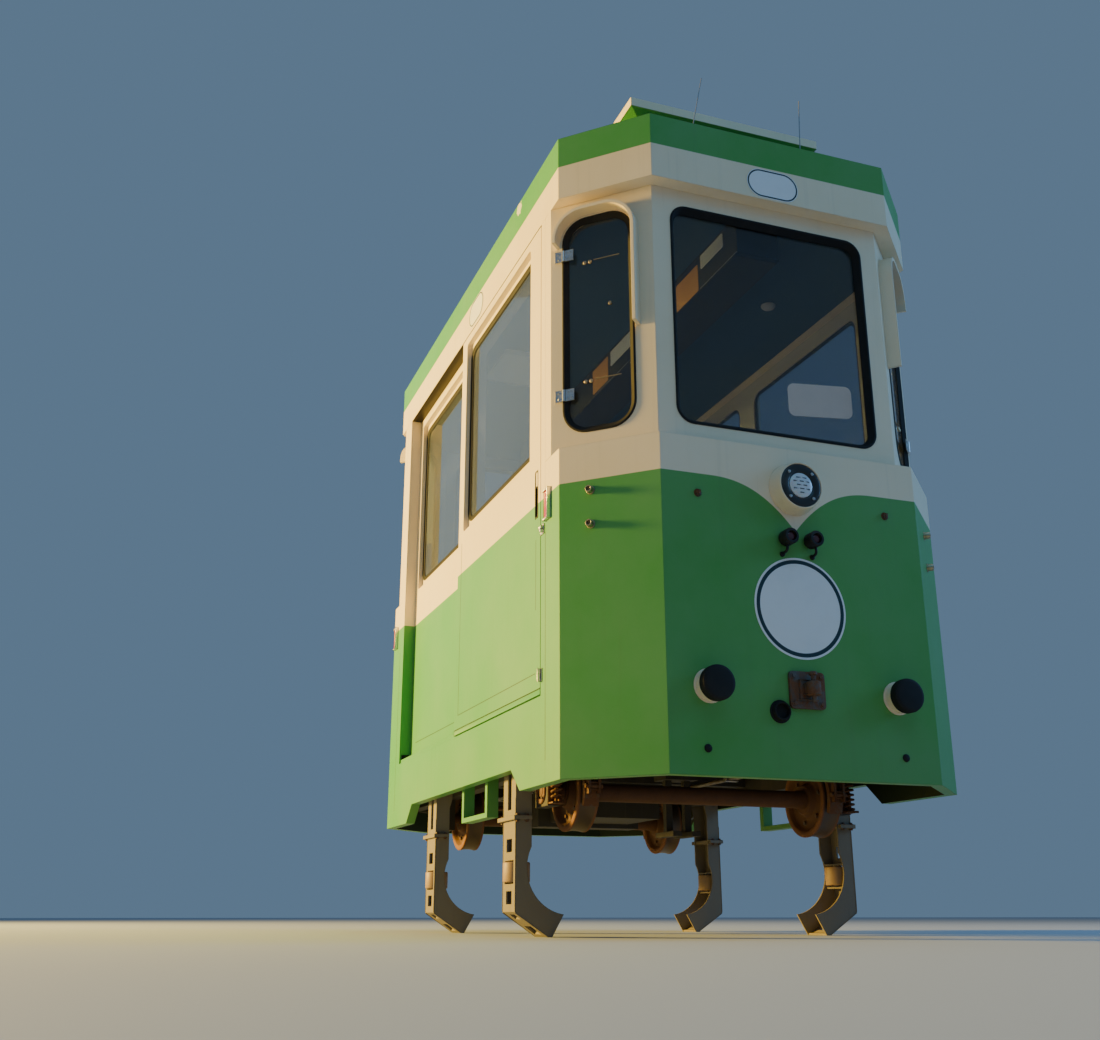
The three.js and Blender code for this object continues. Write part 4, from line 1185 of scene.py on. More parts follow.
red_lens, red_shader = plastic("red reflector", (0.62, 0.060, 0.022, 1), 0.18, film=0.15)
red_shader.inputs["Coat Weight"].default_value = 0.9
reflectors, frames = bmesh.new(), bmesh.new()
for theta, turn in ((RIGHT, 1), (LEFT, -1)):
    for x in REFLECTOR_X:
        u = x * turn
        half_u, half_z = REFLECTOR_SIZE[0] / 2, REFLECTOR_SIZE[1] / 2
        rim_u, rim_z = u + half_u + 0.001, half_z + REFLECTOR_FRAME
        soft_box(reflectors, (u - half_u, BODY_HALF_W + 0.001, REFLECTOR_Z - half_z),
                 (u + half_u, BODY_HALF_W + 0.008, REFLECTOR_Z + half_z), theta, 0.0018)
        soft_box(frames, (rim_u, BODY_HALF_W + 0.0004, REFLECTOR_Z - rim_z),
                 (rim_u + REFLECTOR_FRAME, BODY_HALF_W + 0.015, REFLECTOR_Z + rim_z), theta, 0.0015)
        for up in (-1, 1):
            z = sorted((REFLECTOR_Z + up * (half_z + 0.001), REFLECTOR_Z + up * rim_z))
            soft_box(frames, (u - half_u, BODY_HALF_W + 0.0004, z[0]),
                     (u + half_u + 0.002, BODY_HALF_W + 0.013, z[1]), theta, 0.0015)
add_piece("reflectors", reflectors, red_lens)
add_piece("reflector_frames", frames, bright_steel)

latch = bmesh.new()
(x0, x1), (z0, z1) = LATCH
soft_box(latch, (x0, BODY_HALF_W + 0.0004, z0), (x1, BODY_HALF_W + 0.003, z1), RIGHT, 0.001)
soft_box(latch, (x0 + 0.004, BODY_HALF_W + 0.003, z0 + 0.022),
         (x1 - 0.006, BODY_HALF_W + 0.011, z0 + 0.031), RIGHT, 0.0015)
lathe(latch, [(0.003, 0), (0.003, 0.0085), (0.012, 0.008), (0.014, 0.006), (0.014, 0)],
      Vector(((x0 + x1) / 2 + 0.004, -BODY_HALF_W, z0 + 0.014)), (0, -1, 0), 24)
(x0, x1), (z0, z1) = FOOT_BRACKET
soft_box(latch, (x0, BODY_HALF_W + 0.0004, z0), (x1, BODY_HALF_W + 0.003, z1), RIGHT, 0.001)
soft_box(latch, (x0, BODY_HALF_W + 0.003, z0), (x0 + 0.005, BODY_HALF_W + 0.014, z1), RIGHT, 0.001)
add_piece("door_latch", latch, bright_steel)

sweep = bmesh.new()
(x0, y0, z0), (x1, y1, z1) = SWEEP
soft_box(sweep, (x0, -y1, z0), (x1, -y0, z1), RIGHT, 0.0012)
add_piece("door_sweep", sweep, body_paint, "door")

stop = bmesh.new()
(x0, y0, z0), (x1, y1, z1) = RAIL_STOP
soft_box(stop, (x0, -y1, z0), (x1, -y0, z1), RIGHT, 0.002, 3)
add_piece("door_stop", stop, pad_rubber)

cup, pull_lip = bmesh.new(), bmesh.new()
(x0, x1), (z0, z1) = PULL
rim = rounded_outline(x0, x1, z0, z1, 0.014, 5)
swept_ring(cup, RIGHT, BODY_HALF_W, rim, (
    (0.0, 0.0012), (-0.0025, 0.0016), (-0.0040, 0.0004), (-0.0046, -PULL_DEPTH),
    (-0.0010, -PULL_DEPTH), (-0.0006, 0.0002), (0.0, 0.0002),
))
plate(cup, RIGHT, rounded_outline(x0 + 0.0042, x1 - 0.0042, z0 + 0.0042, z1 - 0.0042, 0.010, 5),
      BODY_HALF_W - PULL_DEPTH, BODY_HALF_W - PULL_DEPTH + 0.001)
soft_box(pull_lip, (x0 + 0.005, BODY_HALF_W - PULL_DEPTH + 0.0012, PULL_LIP_Z),
         (x1 - 0.005, BODY_HALF_W - 0.002, z1 - 0.005), RIGHT, 0.003)
add_piece("door_pull_cup", cup, pod_plastic, "door")
add_piece("door_pull_lip", pull_lip, lamp_cream, "door")


# Chassis: welded steel bars in dark paint under road dirt, and the same on the floor's underside, the
# drive unit and the collector. The jacking frames are green, and the hook arms a dirty brown.
def chassis_paint():
    """Dark brushed paint, worn and dirty all over."""
    made, tree, shader = material("dark chassis paint")
    weather = use_group(tree, WEATHER, Clouds=0.8, Streaks=0.5, Dust=0.9, Dust_top=1.2, Specks=0.5)
    dirt = color_socket(tree, (0.022, 0.022, 0.024, 1))
    finish_paint(tree, shader, dirt, weather, 0.62, soil_share=0.75, bump=0.4, edge=0.002)
    shader.inputs["Specular IOR Level"].default_value = 0.4
    return made


chassis = chassis_paint()
dress(chassis, "underframe", "floor", "drive_unit", "current_collector")

jacking = plain_paint("jacking frame paint", GREEN, Dust=0.5, Dust_top=0.9)
dress(jacking, "jacking_frame_left", "jacking_frame_right")

arm_paint = plain_paint("arm paint", (0.24, 0.205, 0.155, 1), 0.6, Clouds=0.9, Streaks=0.5, Dust=0.6,
                        Dust_top=0.8, Specks=0.5)
dress(arm_paint, *[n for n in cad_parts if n.startswith("hook_arm")])


# Roof fittings: dark louvre slats over a black plate inside the slots of the roof box, and two thin
# steel whip aerials on round feet near the front edge of the roof.
VENT_X = 1.165
VENT_DEPTH = 0.014
VENT_HALF = (0.234, 0.065)
VENT_MIDDLE_Z = 3.200
SLAT_HALF = 0.212
SLAT_Z = 3.155
SLAT_PITCH = 0.018
SLAT_COUNT = 6
SLAT_SLOPE = 0.6


def slat_tree():
    """Repeats one slat upwards, a given number of times."""
    tree = bpy.data.node_groups.new("Louvre slats", "GeometryNodeTree")
    for label, kind in (("Slat", "Geometry"), ("Count", "Int"), ("Pitch", "Float"), ("Finish", "Material")):
        tree.interface.new_socket(label, in_out="INPUT", socket_type="NodeSocket" + kind)
    tree.interface.new_socket("Slats", in_out="OUTPUT", socket_type="NodeSocketGeometry")
    given = tree.nodes.new("NodeGroupInput").outputs
    step = tree.nodes.new("ShaderNodeCombineXYZ")
    tree.links.new(given["Pitch"], step.inputs["Z"])
    line = tree.nodes.new("GeometryNodeMeshLine")
    tree.links.new(given["Count"], line.inputs["Count"])
    tree.links.new(step.outputs[0], line.inputs["Offset"])
    stood = tree.nodes.new("GeometryNodeInstanceOnPoints")
    tree.links.new(line.outputs[0], stood.inputs["Points"])
    tree.links.new(given["Slat"], stood.inputs["Instance"])
    real = tree.nodes.new("GeometryNodeRealizeInstances")
    tree.links.new(stood.outputs[0], real.inputs[0])
    coated = tree.nodes.new("GeometryNodeSetMaterial")
    tree.links.new(real.outputs[0], coated.inputs["Geometry"])
    tree.links.new(given["Finish"], coated.inputs["Material"])
    out = tree.nodes.new("NodeGroupOutput")
    tree.links.new(coated.outputs[0], out.inputs[0])
    return tree


SLAT_TREE = slat_tree()


def slats(name, bm, count, pitch, finish):
    """The slat in bm repeated upwards, as one plain mesh."""
    data = bpy.data.meshes.new(name + "_one")
    bm.to_mesh(data)
    bm.free()
    data.materials.append(finish)
    values = {"Count": count, "Pitch": pitch, "Finish": finish}
    return laid_out(name, data, SLAT_TREE, values, "car")


vent_plastic, _ = plastic("vent slat plastic", (0.020, 0.026, 0.022, 1), 0.5, film=0.4)
aerial_steel = metal("aerial steel", (0.30, 0.30, 0.31, 1), 0.45, rust=0.1, metallic=0.6)
for end, theta, _ in ends:
    backing = bmesh.new()
    half, tall = VENT_HALF[0], VENT_HALF[1] - 0.001
    plate(backing, theta, rounded_outline(-half, half, VENT_MIDDLE_Z - tall, VENT_MIDDLE_Z + tall, 0.061),
          VENT_X - VENT_DEPTH + 0.0003, VENT_X - VENT_DEPTH + 0.0013)
    add_piece(f"{end}_vent_backing", backing, seal_rubber, sharp=20)
    one = bmesh.new()
    soft_box(one, (-SLAT_HALF, VENT_X - VENT_DEPTH + 0.003, SLAT_Z),
             (SLAT_HALF, VENT_X - 0.003, SLAT_Z + 0.003), theta, 0.0008, 1)
    for vert in one.verts:
        vert.co.z += (VENT_X - abs(vert.co.x)) * SLAT_SLOPE
    slats(f"{end}_vent_slats", one, SLAT_COUNT, SLAT_PITCH, vent_plastic)

for name in ("aerial_left", "aerial_right"):
    low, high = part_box(name)
    foot = Vector(((low.x + high.x) / 2, low.y + 0.014, low.z))
    tip = Vector((foot.x, high.y - 0.003, high.z - 0.001))
    whip = bmesh.new()
    lathe(whip, [
        (0.0, 0), (0.0, 0.0135), (0.004, 0.0135), (0.008, 0.010), (0.014, 0.0055), (0.022, 0.0045),
        (0.024, 0),
    ], foot, (0, 0, 1), 24)
    pipe(whip, [foot + Vector((0, 0, 0.016)), foot.lerp(tip, 0.5), tip], 0.0022, 0.05, 8)
    made = add_piece(name + "_whip", whip, aerial_steel)
    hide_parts(name)


# Wheelsets: forged wheels with hollow treads shrunk on an axle. The webs are rusty brown, the rims
# orange, and the treads dark where they run.
GAUGE_HALF = 0.525
HOLLOW_R = 0.134
WHEEL_R = 0.145
TREAD_HALF = 0.036
AXLE_AT = (0.728, 0.529)
WEB_BOLTS_R = 0.094


def wheel_steel():
    """Rusty forged steel, orange at the rim and worn dark on the tread."""
    made, tree, shader = material("wheel steel")
    place = node(tree, "TexCoord").outputs["Object"]
    part = node(tree, "SeparateXYZ", {0: place}).outputs
    off_middle = math_node(tree, "SUBTRACT", math_node(tree, "ABSOLUTE", part[1]), GAUGE_HALF)
    across = math_node(tree, "ABSOLUTE", off_middle)
    along = math_node(tree, "SUBTRACT", math_node(tree, "ABSOLUTE", part[0]), AXLE_AT[0])
    up = math_node(tree, "SUBTRACT", part[2], AXLE_AT[1])
    radius = math_node(tree, "SQRT", math_node(tree, "ADD", math_node(tree, "MULTIPLY", along, along),
                                               math_node(tree, "MULTIPLY", up, up)))
    rim = ramp(tree, radius, (0.132, 0.139))
    middle_share = ramp(tree, across, (0.036, 0.028))
    bright = math_node(tree, "MULTIPLY", rim, middle_share)
    cloud = noise(tree, place, 22.0, 8.0, 0.7)
    pit = noise(tree, place, 260.0, 3.0)
    rust = mix_colors(tree, cloud, (0.060, 0.026, 0.012, 1), (0.230, 0.085, 0.030, 1))
    orange_share = ramp(tree, radius, (0.112, 0.136))
    orange = mix_colors(tree, cloud, (0.150, 0.052, 0.018, 1), (0.400, 0.150, 0.052, 1))
    rusted = mix_colors(tree, orange_share, rust, orange)
    grimy = mix_colors(tree, math_node(tree, "MULTIPLY", pit, 0.7), rusted, (0.070, 0.045, 0.032, 1))
    feed(tree, shader, {
        "Base Color": mix_colors(tree, bright, grimy, (0.120, 0.088, 0.066, 1)),
        "Metallic": ramp(tree, bright, to=(0.10, 0.75)),
        "Roughness": ramp(tree, bright, to=(0.78, 0.46)),
    })
    set_bump(tree, shader, 0.35, 0.001, math_node(tree, "ADD", cloud, pit))
    return made


wheel_finish = wheel_steel()
tread = []
for i in range(13):
    v = TREAD_HALF * (i / 6 - 1)
    tread.append((v, WHEEL_R + HOLLOW_R - math.sqrt(HOLLOW_R ** 2 - v * v)))
wheel_line = (
    [(-0.045, 0), (-0.045, 0.056), (-0.041, 0.061), (-0.026, 0.067), (-0.022, 0.073), (-0.022, 0.112),
     (-0.026, 0.119), (-0.039, 0.125), (-0.042, 0.129), (-0.042, 0.147), (-0.040, 0.1497)]
    + tread
    + [(0.040, 0.1497), (0.042, 0.147), (0.042, 0.129), (0.039, 0.125), (0.026, 0.119), (0.022, 0.112),
       (0.022, 0.073), (0.026, 0.067), (0.041, 0.061), (0.045, 0.056), (0.045, 0)]
)
for end, _, way in ends:
    middle_x = way * AXLE_AT[0]
    wheels = bmesh.new()
    for y in (-GAUGE_HALF, GAUGE_HALF):
        lathe(wheels, wheel_line, (middle_x, y, AXLE_AT[1]), (0, 1, 0), 72)
    lathe(wheels, [
        (-0.665, 0), (-0.665, 0.022), (-0.662, 0.025), (-0.582, 0.025), (-0.575, 0.030), (-0.575, 0.039),
        (-0.470, 0.039), (-0.440, 0.034), (0.440, 0.034), (0.470, 0.039), (0.575, 0.039), (0.575, 0.030),
        (0.582, 0.025), (0.662, 0.025), (0.665, 0.022), (0.665, 0),
    ], (middle_x, 0, AXLE_AT[1]), (0, 1, 0), 40)
    made = add_piece(f"{end}_wheels_and_axle", wheels, wheel_finish, f"{end}_wheels")
    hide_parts(f"{end}_wheelset")
    spots = []
    for y in (-GAUGE_HALF, GAUGE_HALF):
        for face in (-1, 1):
            for k in range(6):
                t = math.radians(60 * k + 15)
                spot = (middle_x + WEB_BOLTS_R * math.cos(t), y + face * 0.022,
                        AXLE_AT[1] + WEB_BOLTS_R * math.sin(t))
                spots.append((spot, (0, face, 0)))
    screws(f"{end}_wheel_bolts", spots, 0.008, 0.007, 0.011, rusty_steel, seed=11,
           body=f"{end}_wheels")


# Guide rollers: tan moulded nylon rollers with eased rims and a ring sunk into each end. They turn on
# the standing pins of the arms.
ROLLER_AT = (0.590, 0.712)
ROLLER_Z = (0.1966, 0.2714)
ROLLER_R = 0.0519
ROLLER_BORE = 0.0127

roller_nylon, _ = plastic("tan nylon", (0.40, 0.265, 0.155, 1), 0.42, bump=0.2, film=0.55)
for end, _, way in ends:
    for side, hand in (("left", 1), ("right", -1)):
        foot = (way * ROLLER_AT[0], hand * ROLLER_AT[1], ROLLER_Z[0])
        tall = ROLLER_Z[1] - ROLLER_Z[0]
        roller = bmesh.new()
        lathe(roller, [
            (0.0, ROLLER_BORE), (0.0, 0.022), (0.003, 0.024), (0.003, 0.038), (0.0, 0.040),
            (0.0, ROLLER_R - 0.004), (0.0015, ROLLER_R - 0.0015), (0.005, ROLLER_R),
            (tall - 0.005, ROLLER_R), (tall - 0.0015, ROLLER_R - 0.0015), (tall, ROLLER_R - 0.004),
            (tall, 0.040), (tall - 0.003, 0.038), (tall - 0.003, 0.024), (tall, 0.022),
            (tall, ROLLER_BORE), (0.0, ROLLER_BORE),
        ], foot, (0, 0, 1), 64)
        made = add_piece(f"{end}_{side}_roller", roller, roller_nylon,
                         f"roller_{end}_{side}")
        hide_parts(f"guide_roller_{end}_{side}")


# Arm fittings: hexagon bolts hold the clamp flange of each arm, and weld beads run where its plates
# meet.
FLANGE_Z = (0.424, 0.440)
WELD_X = (-0.0745, 0.0745)
WELDS = (
    ((0.7420, 0.092), (0.7420, 0.423)), ((0.7420, 0.441), (0.7420, 0.505)),
    ((0.7415, 0.088), (0.6105, 0.0022)),
)
WELD_R = 0.0022

for end, _, way in ends:
    beads, flange_bolts = bmesh.new(), []
    for hand in (1, -1):
        arm_x = way * ROLLER_AT[0]
        for x in WELD_X:
            for line in WELDS:
                pipe(beads, [(arm_x + x, hand * y, z) for y, z in line], WELD_R, 0.01, 6)
        for x in (-0.100, 0.086):
            for y in (0.700, 0.738):
                for z, up in ((FLANGE_Z[1], 1), (FLANGE_Z[0], -1)):
                    flange_bolts.append(((arm_x + x, hand * y, z), (0, 0, up)))
    add_piece(f"{end}_arm_welds", beads, arm_paint)
    screws(f"{end}_flange_bolts", flange_bolts, 0.0065, 0.006, 0.011, rusty_steel, seed=13)


# Under the floor: cooling ribs on the drive unit, steel pipes clipped below the cross bars, a junction
# box, and rusty brake shoes on hangers at the wheels' outer sides. Each axle box has a rusty bearing
# ring, a thin grease pipe from its arm, and a coil spring on a bent bracket.
MOTOR_SIDE = 0.200
MOTOR_X = (-0.362, -0.070)
RIB_Z = (0.512, 0.517)
RIB_PITCH = 0.021
RIB_COUNT = 10
PIPE_Y = (0.318, 0.342)
PIPE_Z = 0.6405
CLIP_Y = 0.330
CROSS_X = (-1.080, -0.400, 0.0, 0.400, 1.080)
JUNCTION = ((0.50, -0.27, 0.668), (0.70, -0.09, 0.7594))
OUTLET_Z = 0.712
RING_BOLTS_R = 0.0405
SPRING_OFF = 0.100
SPRING_Y = 0.636
SPRING_R = 0.0185
SPRING_Z = (0.4850, 0.6000)
SPRING_TURNS = 6
SPRING_WIRE = 0.0045
GREASE_LINE = ((0.655, 0.735, 0.662), (0.692, 0.722, 0.640), (0.716, 0.700, 0.560), (0.716, 0.6675, 0.548))
SHOE_SECTION = ((0.160, -0.030), (0.180, -0.030), (0.180, 0.030), (0.160, 0.030))
SHOE_ARC = (-22, 26)
BRAKE_ROD_Z = 0.600

for side, theta in (("left", LEFT), ("right", RIGHT)):
    one = bmesh.new()
    span = sorted(x * (1 if side == "right" else -1) for x in MOTOR_X)
    soft_box(one, (span[0], MOTOR_SIDE + 0.0004, RIB_Z[0]), (span[1], MOTOR_SIDE + 0.014, RIB_Z[1]),
             theta, 0.0008, 1)
    slats(f"motor_ribs_{side}", one, RIB_COUNT, RIB_PITCH, chassis)

pipes, clips = bmesh.new(), bmesh.new()
for hand in (-1, 1):
    for k, y in enumerate(PIPE_Y):
        pipe(pipes, [(-1.388, hand * y, PIPE_Z), (1.388, hand * y, PIPE_Z)], 0.008 - 0.002 * k, 0.02, 14)
    for x in CROSS_X:
        soft_box(clips, (x - 0.012, -hand * CLIP_Y - 0.030, 0.6295),
                 (x + 0.012, -hand * CLIP_Y + 0.030, 0.6325), RIGHT, 0.0008, 1)
        for y in (CLIP_Y - 0.028, CLIP_Y + 0.028):
            soft_box(clips, (x - 0.012, -hand * y - 0.0015, 0.6300),
                     (x + 0.012, -hand * y + 0.0015, 0.6498), RIGHT, 0.0006, 1)
add_piece("floor_pipes", pipes, metal("pipe steel", (0.20, 0.19, 0.18, 1), 0.5, rust=0.45))
add_piece("floor_pipe_clips", clips, zinc)

box_mesh = bmesh.new()
low, high = JUNCTION
soft_box(box_mesh, (low[0], -high[1], low[2] + 0.012), (high[0], -low[1], high[2]), RIGHT, 0.004)
soft_box(box_mesh, (low[0] - 0.004, -high[1] - 0.004, low[2]),
         (high[0] + 0.004, -low[1] + 0.004, low[2] + 0.0115), RIGHT, 0.003)
outlet_y, drop_x = (low[1] + high[1]) / 2, high[0] + 0.16
pipe(box_mesh, [
    (high[0] + 0.001, outlet_y, OUTLET_Z), (drop_x, outlet_y, OUTLET_Z),
    (drop_x, -PIPE_Y[0], OUTLET_Z), (drop_x, -PIPE_Y[0], 0.647),
], 0.0085, 0.03, 14)
add_piece("junction_box", box_mesh, chassis)
screws("junction_box_screws", [
    ((x, y, low[2]), (0, 0, -1))
    for x in (low[0] + 0.012, high[0] - 0.012) for y in (low[1] + 0.012, high[1] - 0.012)
], 0.004, 0.003, 0.006, zinc, sides=12, seed=15)

rings, ring_bolts = bmesh.new(), []
for way in (1, -1):
    for hand in (1, -1):
        at = (way * AXLE_AT[0], hand * 0.6602, AXLE_AT[1])
        lathe(rings, [
            (0.0, 0.031), (0.0, 0.050), (0.004, 0.050), (0.007, 0.047), (0.007, 0.034), (0.005, 0.031),
            (0.0, 0.031),
        ], at, (0, hand, 0), 36)
        for k in range(4):
            t = math.radians(45 + 90 * k)
            spot = (at[0] + RING_BOLTS_R * math.cos(t), hand * 0.667, at[2] + RING_BOLTS_R * math.sin(t))
            ring_bolts.append((spot, (0, hand, 0)))
box_rust = metal("axle box rust", (0.19, 0.115, 0.065, 1), 0.68, rust=0.9, metallic=0.4, bump=0.5,
                 scale=1.5)
add_piece("bearing_rings", rings, box_rust)
springs, grease = bmesh.new(), bmesh.new()
for way in (1, -1):
    for hand in (1, -1):
        axis_x = way * (AXLE_AT[0] + SPRING_OFF)
        turns = [
            (axis_x + SPRING_R * math.cos(t), hand * SPRING_Y + SPRING_R * math.sin(t),
             SPRING_Z[0] + (SPRING_Z[1] - SPRING_Z[0]) * t / (2 * math.pi * SPRING_TURNS))
            for t in (2 * math.pi * k / 14 for k in range(14 * SPRING_TURNS + 1))
        ]
        pipe(springs, turns, SPRING_WIRE, 0.001, 8, 1)
        span = sorted((way * (AXLE_AT[0] + 0.0702), way * (AXLE_AT[0] + SPRING_OFF + 0.026)))
        soft_box(springs, (span[0], -hand * SPRING_Y - 0.024, SPRING_Z[0] - 0.0115),
                 (span[1], -hand * SPRING_Y + 0.024, SPRING_Z[0] - 0.0055), RIGHT, 0.0015)
        span = sorted((way * (AXLE_AT[0] + 0.0702), way * (AXLE_AT[0] + 0.0762)))
        soft_box(springs, (span[0], -hand * SPRING_Y - 0.024, SPRING_Z[0] - 0.011),
                 (span[1], -hand * SPRING_Y + 0.024, SPRING_Z[0] + 0.060), RIGHT, 0.0015)
        lathe(springs, [(0, 0), (0, 0.024), (0.004, 0.024), (0.004, 0)],
              (axis_x, hand * SPRING_Y, SPRING_Z[1] + 0.0046), (0, 0, 1), 24)
        lathe(springs, [(0, 0), (0, 0.008), (0.075, 0.008), (0.078, 0.005), (0.078, 0)],
              (axis_x, hand * SPRING_Y, SPRING_Z[0] - 0.006), (0, 0, 1), 16)
        pipe(grease, [(way * x, hand * y, z) for x, y, z in GREASE_LINE], 0.0038, 0.03, 10)
add_piece("axle_box_springs", springs, box_rust)
add_piece("grease_pipes", grease, zinc)
screws("bearing_ring_bolts", ring_bolts, 0.0045, 0.004, 0.0068, rusty_steel, seed=17)

brake_steel = metal("brake gear steel", (0.16, 0.12, 0.095, 1), 0.62, rust=0.85, metallic=0.6)
brakes = bmesh.new()
for way in (1, -1):
    hanger_x = way * (AXLE_AT[0] + 0.196)
    for hand in (1, -1):
        rows = []
        for i in range(13):
            t = math.radians(SHOE_ARC[0] + (SHOE_ARC[1] - SHOE_ARC[0]) * i / 12)
            rows.append([
                brakes.verts.new((way * (AXLE_AT[0] + radius * math.cos(t)), hand * (GAUGE_HALF + y),
                                  AXLE_AT[1] + radius * math.sin(t)))
                for radius, y in SHOE_SECTION
            ])
        for a, b in zip(rows, rows[1:]):
            for k in range(4):
                brakes.faces.new((a[k], a[(k + 1) % 4], b[(k + 1) % 4], b[k]))
        brakes.faces.new(rows[0])
        brakes.faces.new(rows[-1])
        for y in (-0.020, 0.020):
            soft_box(brakes, (hanger_x - 0.012, -hand * GAUGE_HALF + y - 0.004, 0.505),
                     (hanger_x + 0.012, -hand * GAUGE_HALF + y + 0.004, 0.757), RIGHT, 0.0015)
        lathe(brakes, [(-0.034, 0), (-0.034, 0.009), (0.034, 0.009), (0.034, 0)],
              (hanger_x, hand * GAUGE_HALF, 0.534), (0, 1, 0), 16)
        span = sorted((hanger_x + way * 0.004, way * (AXLE_AT[0] + 0.174)))
        soft_box(brakes, (span[0], -hand * GAUGE_HALF - 0.014, 0.520),
                 (span[1], -hand * GAUGE_HALF + 0.014, 0.548), RIGHT, 0.003)
        lathe(brakes, [(-0.012, 0), (-0.012, 0.018), (0.012, 0.018), (0.012, 0)],
              (hanger_x, hand * 0.490, BRAKE_ROD_Z), (0, 1, 0), 20)
    lathe(brakes, [(-0.49, 0), (-0.49, 0.011), (0.49, 0.011), (0.49, 0)],
          (hanger_x, 0.0, BRAKE_ROD_Z), (0, 1, 0), 16)
add_piece("brake_gear", brakes, brake_steel)


# Cabin lining: the walls' inside and the bench frame are pale grey plastic, the ceiling is dark blue
# grey, and dark rubber covers the floor. A dark duct with blank cards hangs lengthwise from the
# ceiling, beside a square lamp panel and a round lamp, and blank film is stuck on the front window.
# The cards are coloured orange as painted sunlight, and the film pinkish as painted warm light.
DUCT = ((-1.25, -0.085, 2.575), (1.43, 0.085, 2.7436))
CARDS = ((0.87, 1.08, 2.588, 2.715), (-0.105, 0.095, 2.604, 2.733))
LABELS = ((1.107, 1.305, 2.675, 2.738), (0.131, 0.420, 2.660, 2.738))
EDGE_STRIPS = ((1.094, 1.418, 2.5815, 2.5900), (-0.107, 0.398, 2.5815, 2.5900))
LAMP_PANEL = ((-0.355, -0.570, 2.726), (-0.025, -0.280, 2.7436))
DOME = (0.813, 0.410)
CEILING_Z = 2.7436
FLOOR_COVER_Z = (0.8104, 0.8124)
FLOOR_CUT = ((1.50, -0.50), (1.31, -0.69), (-1.31, -0.69), (-1.50, -0.50), (-1.50, 0.325), (1.50, 0.325))
NOTICE = (0.059, 0.343, 1.875, 2.010)
NOTICE_LEAN = 0.09
GLASS_FACE = 1.490

lining, _ = plastic("cabin lining", LINING, 0.55, film=0.2)
dress(lining, "bench_frame")
ceiling_plastic, _ = plastic("ceiling lining", (0.075, 0.130, 0.190, 1), 0.6, film=0.1)
dress(ceiling_plastic, "ceiling_liner")
duct_plastic, _ = plastic("duct plastic", (0.060, 0.062, 0.070, 1), 0.5, film=0.2)
diffuser, diffuser_shader = plastic("lamp diffuser", (0.74, 0.73, 0.68, 1), 0.35, bump=0.04, film=0.05)
diffuser_shader.inputs["Subsurface Weight"].default_value = 0.1
diffuser_shader.inputs["Subsurface Scale"].default_value = 0.01
# Painted sunlight: the cards are pale, coloured orange for warm sun falling on them.
sunlit_card_paint, _ = plastic("card in painted sunlight", (0.80, 0.40, 0.14, 1), 0.6, film=0.1)
pale_card, _ = plastic("pale card", (0.74, 0.76, 0.78, 1), 0.55, film=0.1)

duct = bmesh.new()
(x0, y0, z0), (x1, y1, z1) = DUCT
CARD_Y = -y0
soft_box(duct, (x0, -y1, z0), (x1, -y0, z1), RIGHT, 0.008, 3)
soft_box(duct, (x0 + 0.01, -y1 - 0.006, z0 - 0.004), (x1 - 0.01, -y0 + 0.006, z0 + 0.006), RIGHT, 0.003)
add_piece("ceiling_duct", duct, duct_plastic)
for name, cards, paint in (("duct_cards", CARDS, sunlit_card_paint), ("duct_labels", LABELS, pale_card),
                           ("duct_edge_strips", EDGE_STRIPS, pale_card)):
    bm = bmesh.new()
    for u0, u1, low_z, high_z in cards:
        rim = rounded_outline(u0, u1, low_z, high_z, min(0.008, (high_z - low_z) / 3), 3)
        plate(bm, RIGHT, rim, CARD_Y + 0.0004, CARD_Y + 0.0025)
    add_piece(name, bm, paint, sharp=20)

floor_rubber = rubber("floor rubber", (0.045, 0.048, 0.052, 1), 0.4)
covering = bmesh.new()
for z in FLOOR_COVER_Z:
    covering.faces.new([covering.verts.new((x, y, z)) for x, y in FLOOR_CUT])
bottom, top = list(covering.verts)[:len(FLOOR_CUT)], list(covering.verts)[len(FLOOR_CUT):]
for k in range(len(FLOOR_CUT)):
    j = (k + 1) % len(FLOOR_CUT)
    covering.faces.new((bottom[k], bottom[j], top[j], top[k]))
add_piece("floor_covering", covering, floor_rubber, sharp=20)

lamp_panel = bmesh.new()
(x0, y0, z0), (x1, y1, z1) = LAMP_PANEL
soft_box(lamp_panel, (x0, -y1, z0), (x1, -y0, z1), RIGHT, 0.007, 3)
add_piece("ceiling_lamp_panel", lamp_panel, diffuser)
dome = bmesh.new()
lathe(dome, [(0.0, 0), (0.0, 0.034), (0.006, 0.033), (0.014, 0.026), (0.019, 0.014), (0.021, 0)],
      (*DOME, CEILING_Z), (0, 0, -1), 32)
add_piece("ceiling_dome_lamp", dome, diffuser)

# Painted light: the film is tinted pinkish for warm light falling on it through the glass.
warm_lit_notice_film, _ = plastic("window notice film", (0.66, 0.52, 0.44, 1), 0.6, bump=0.05, film=0.10)
notice = bmesh.new()
leaning = [
    ((u, z + NOTICE_LEAN * (u - NOTICE[0])), way) for (u, z), way in rounded_outline(*NOTICE, 0.028, 6)
]
plate(notice, 0.0, leaning, GLASS_FACE + 0.0003, GLASS_FACE + 0.0011)
add_piece("window_notice", notice, warm_lit_notice_film, sharp=20)


# Bench cushions: one long seat and one long back of foam under plain green woven cloth, each sewn into
# four places. The cloth is blown up over the foam, and piping closes its front edges.
SEAT_PLACES = 4
CUSHION_CELL = 0.009
CUSHION_CAP = 0.022
CUSHION_INSET = 0.012
CUSHION_GAP = 0.0006
DIP_DEPTH = 0.012
DIP_REACH = 0.014
SEWN_REACH = 0.006
PIPING_R = 0.004
WEAVE = 900.0


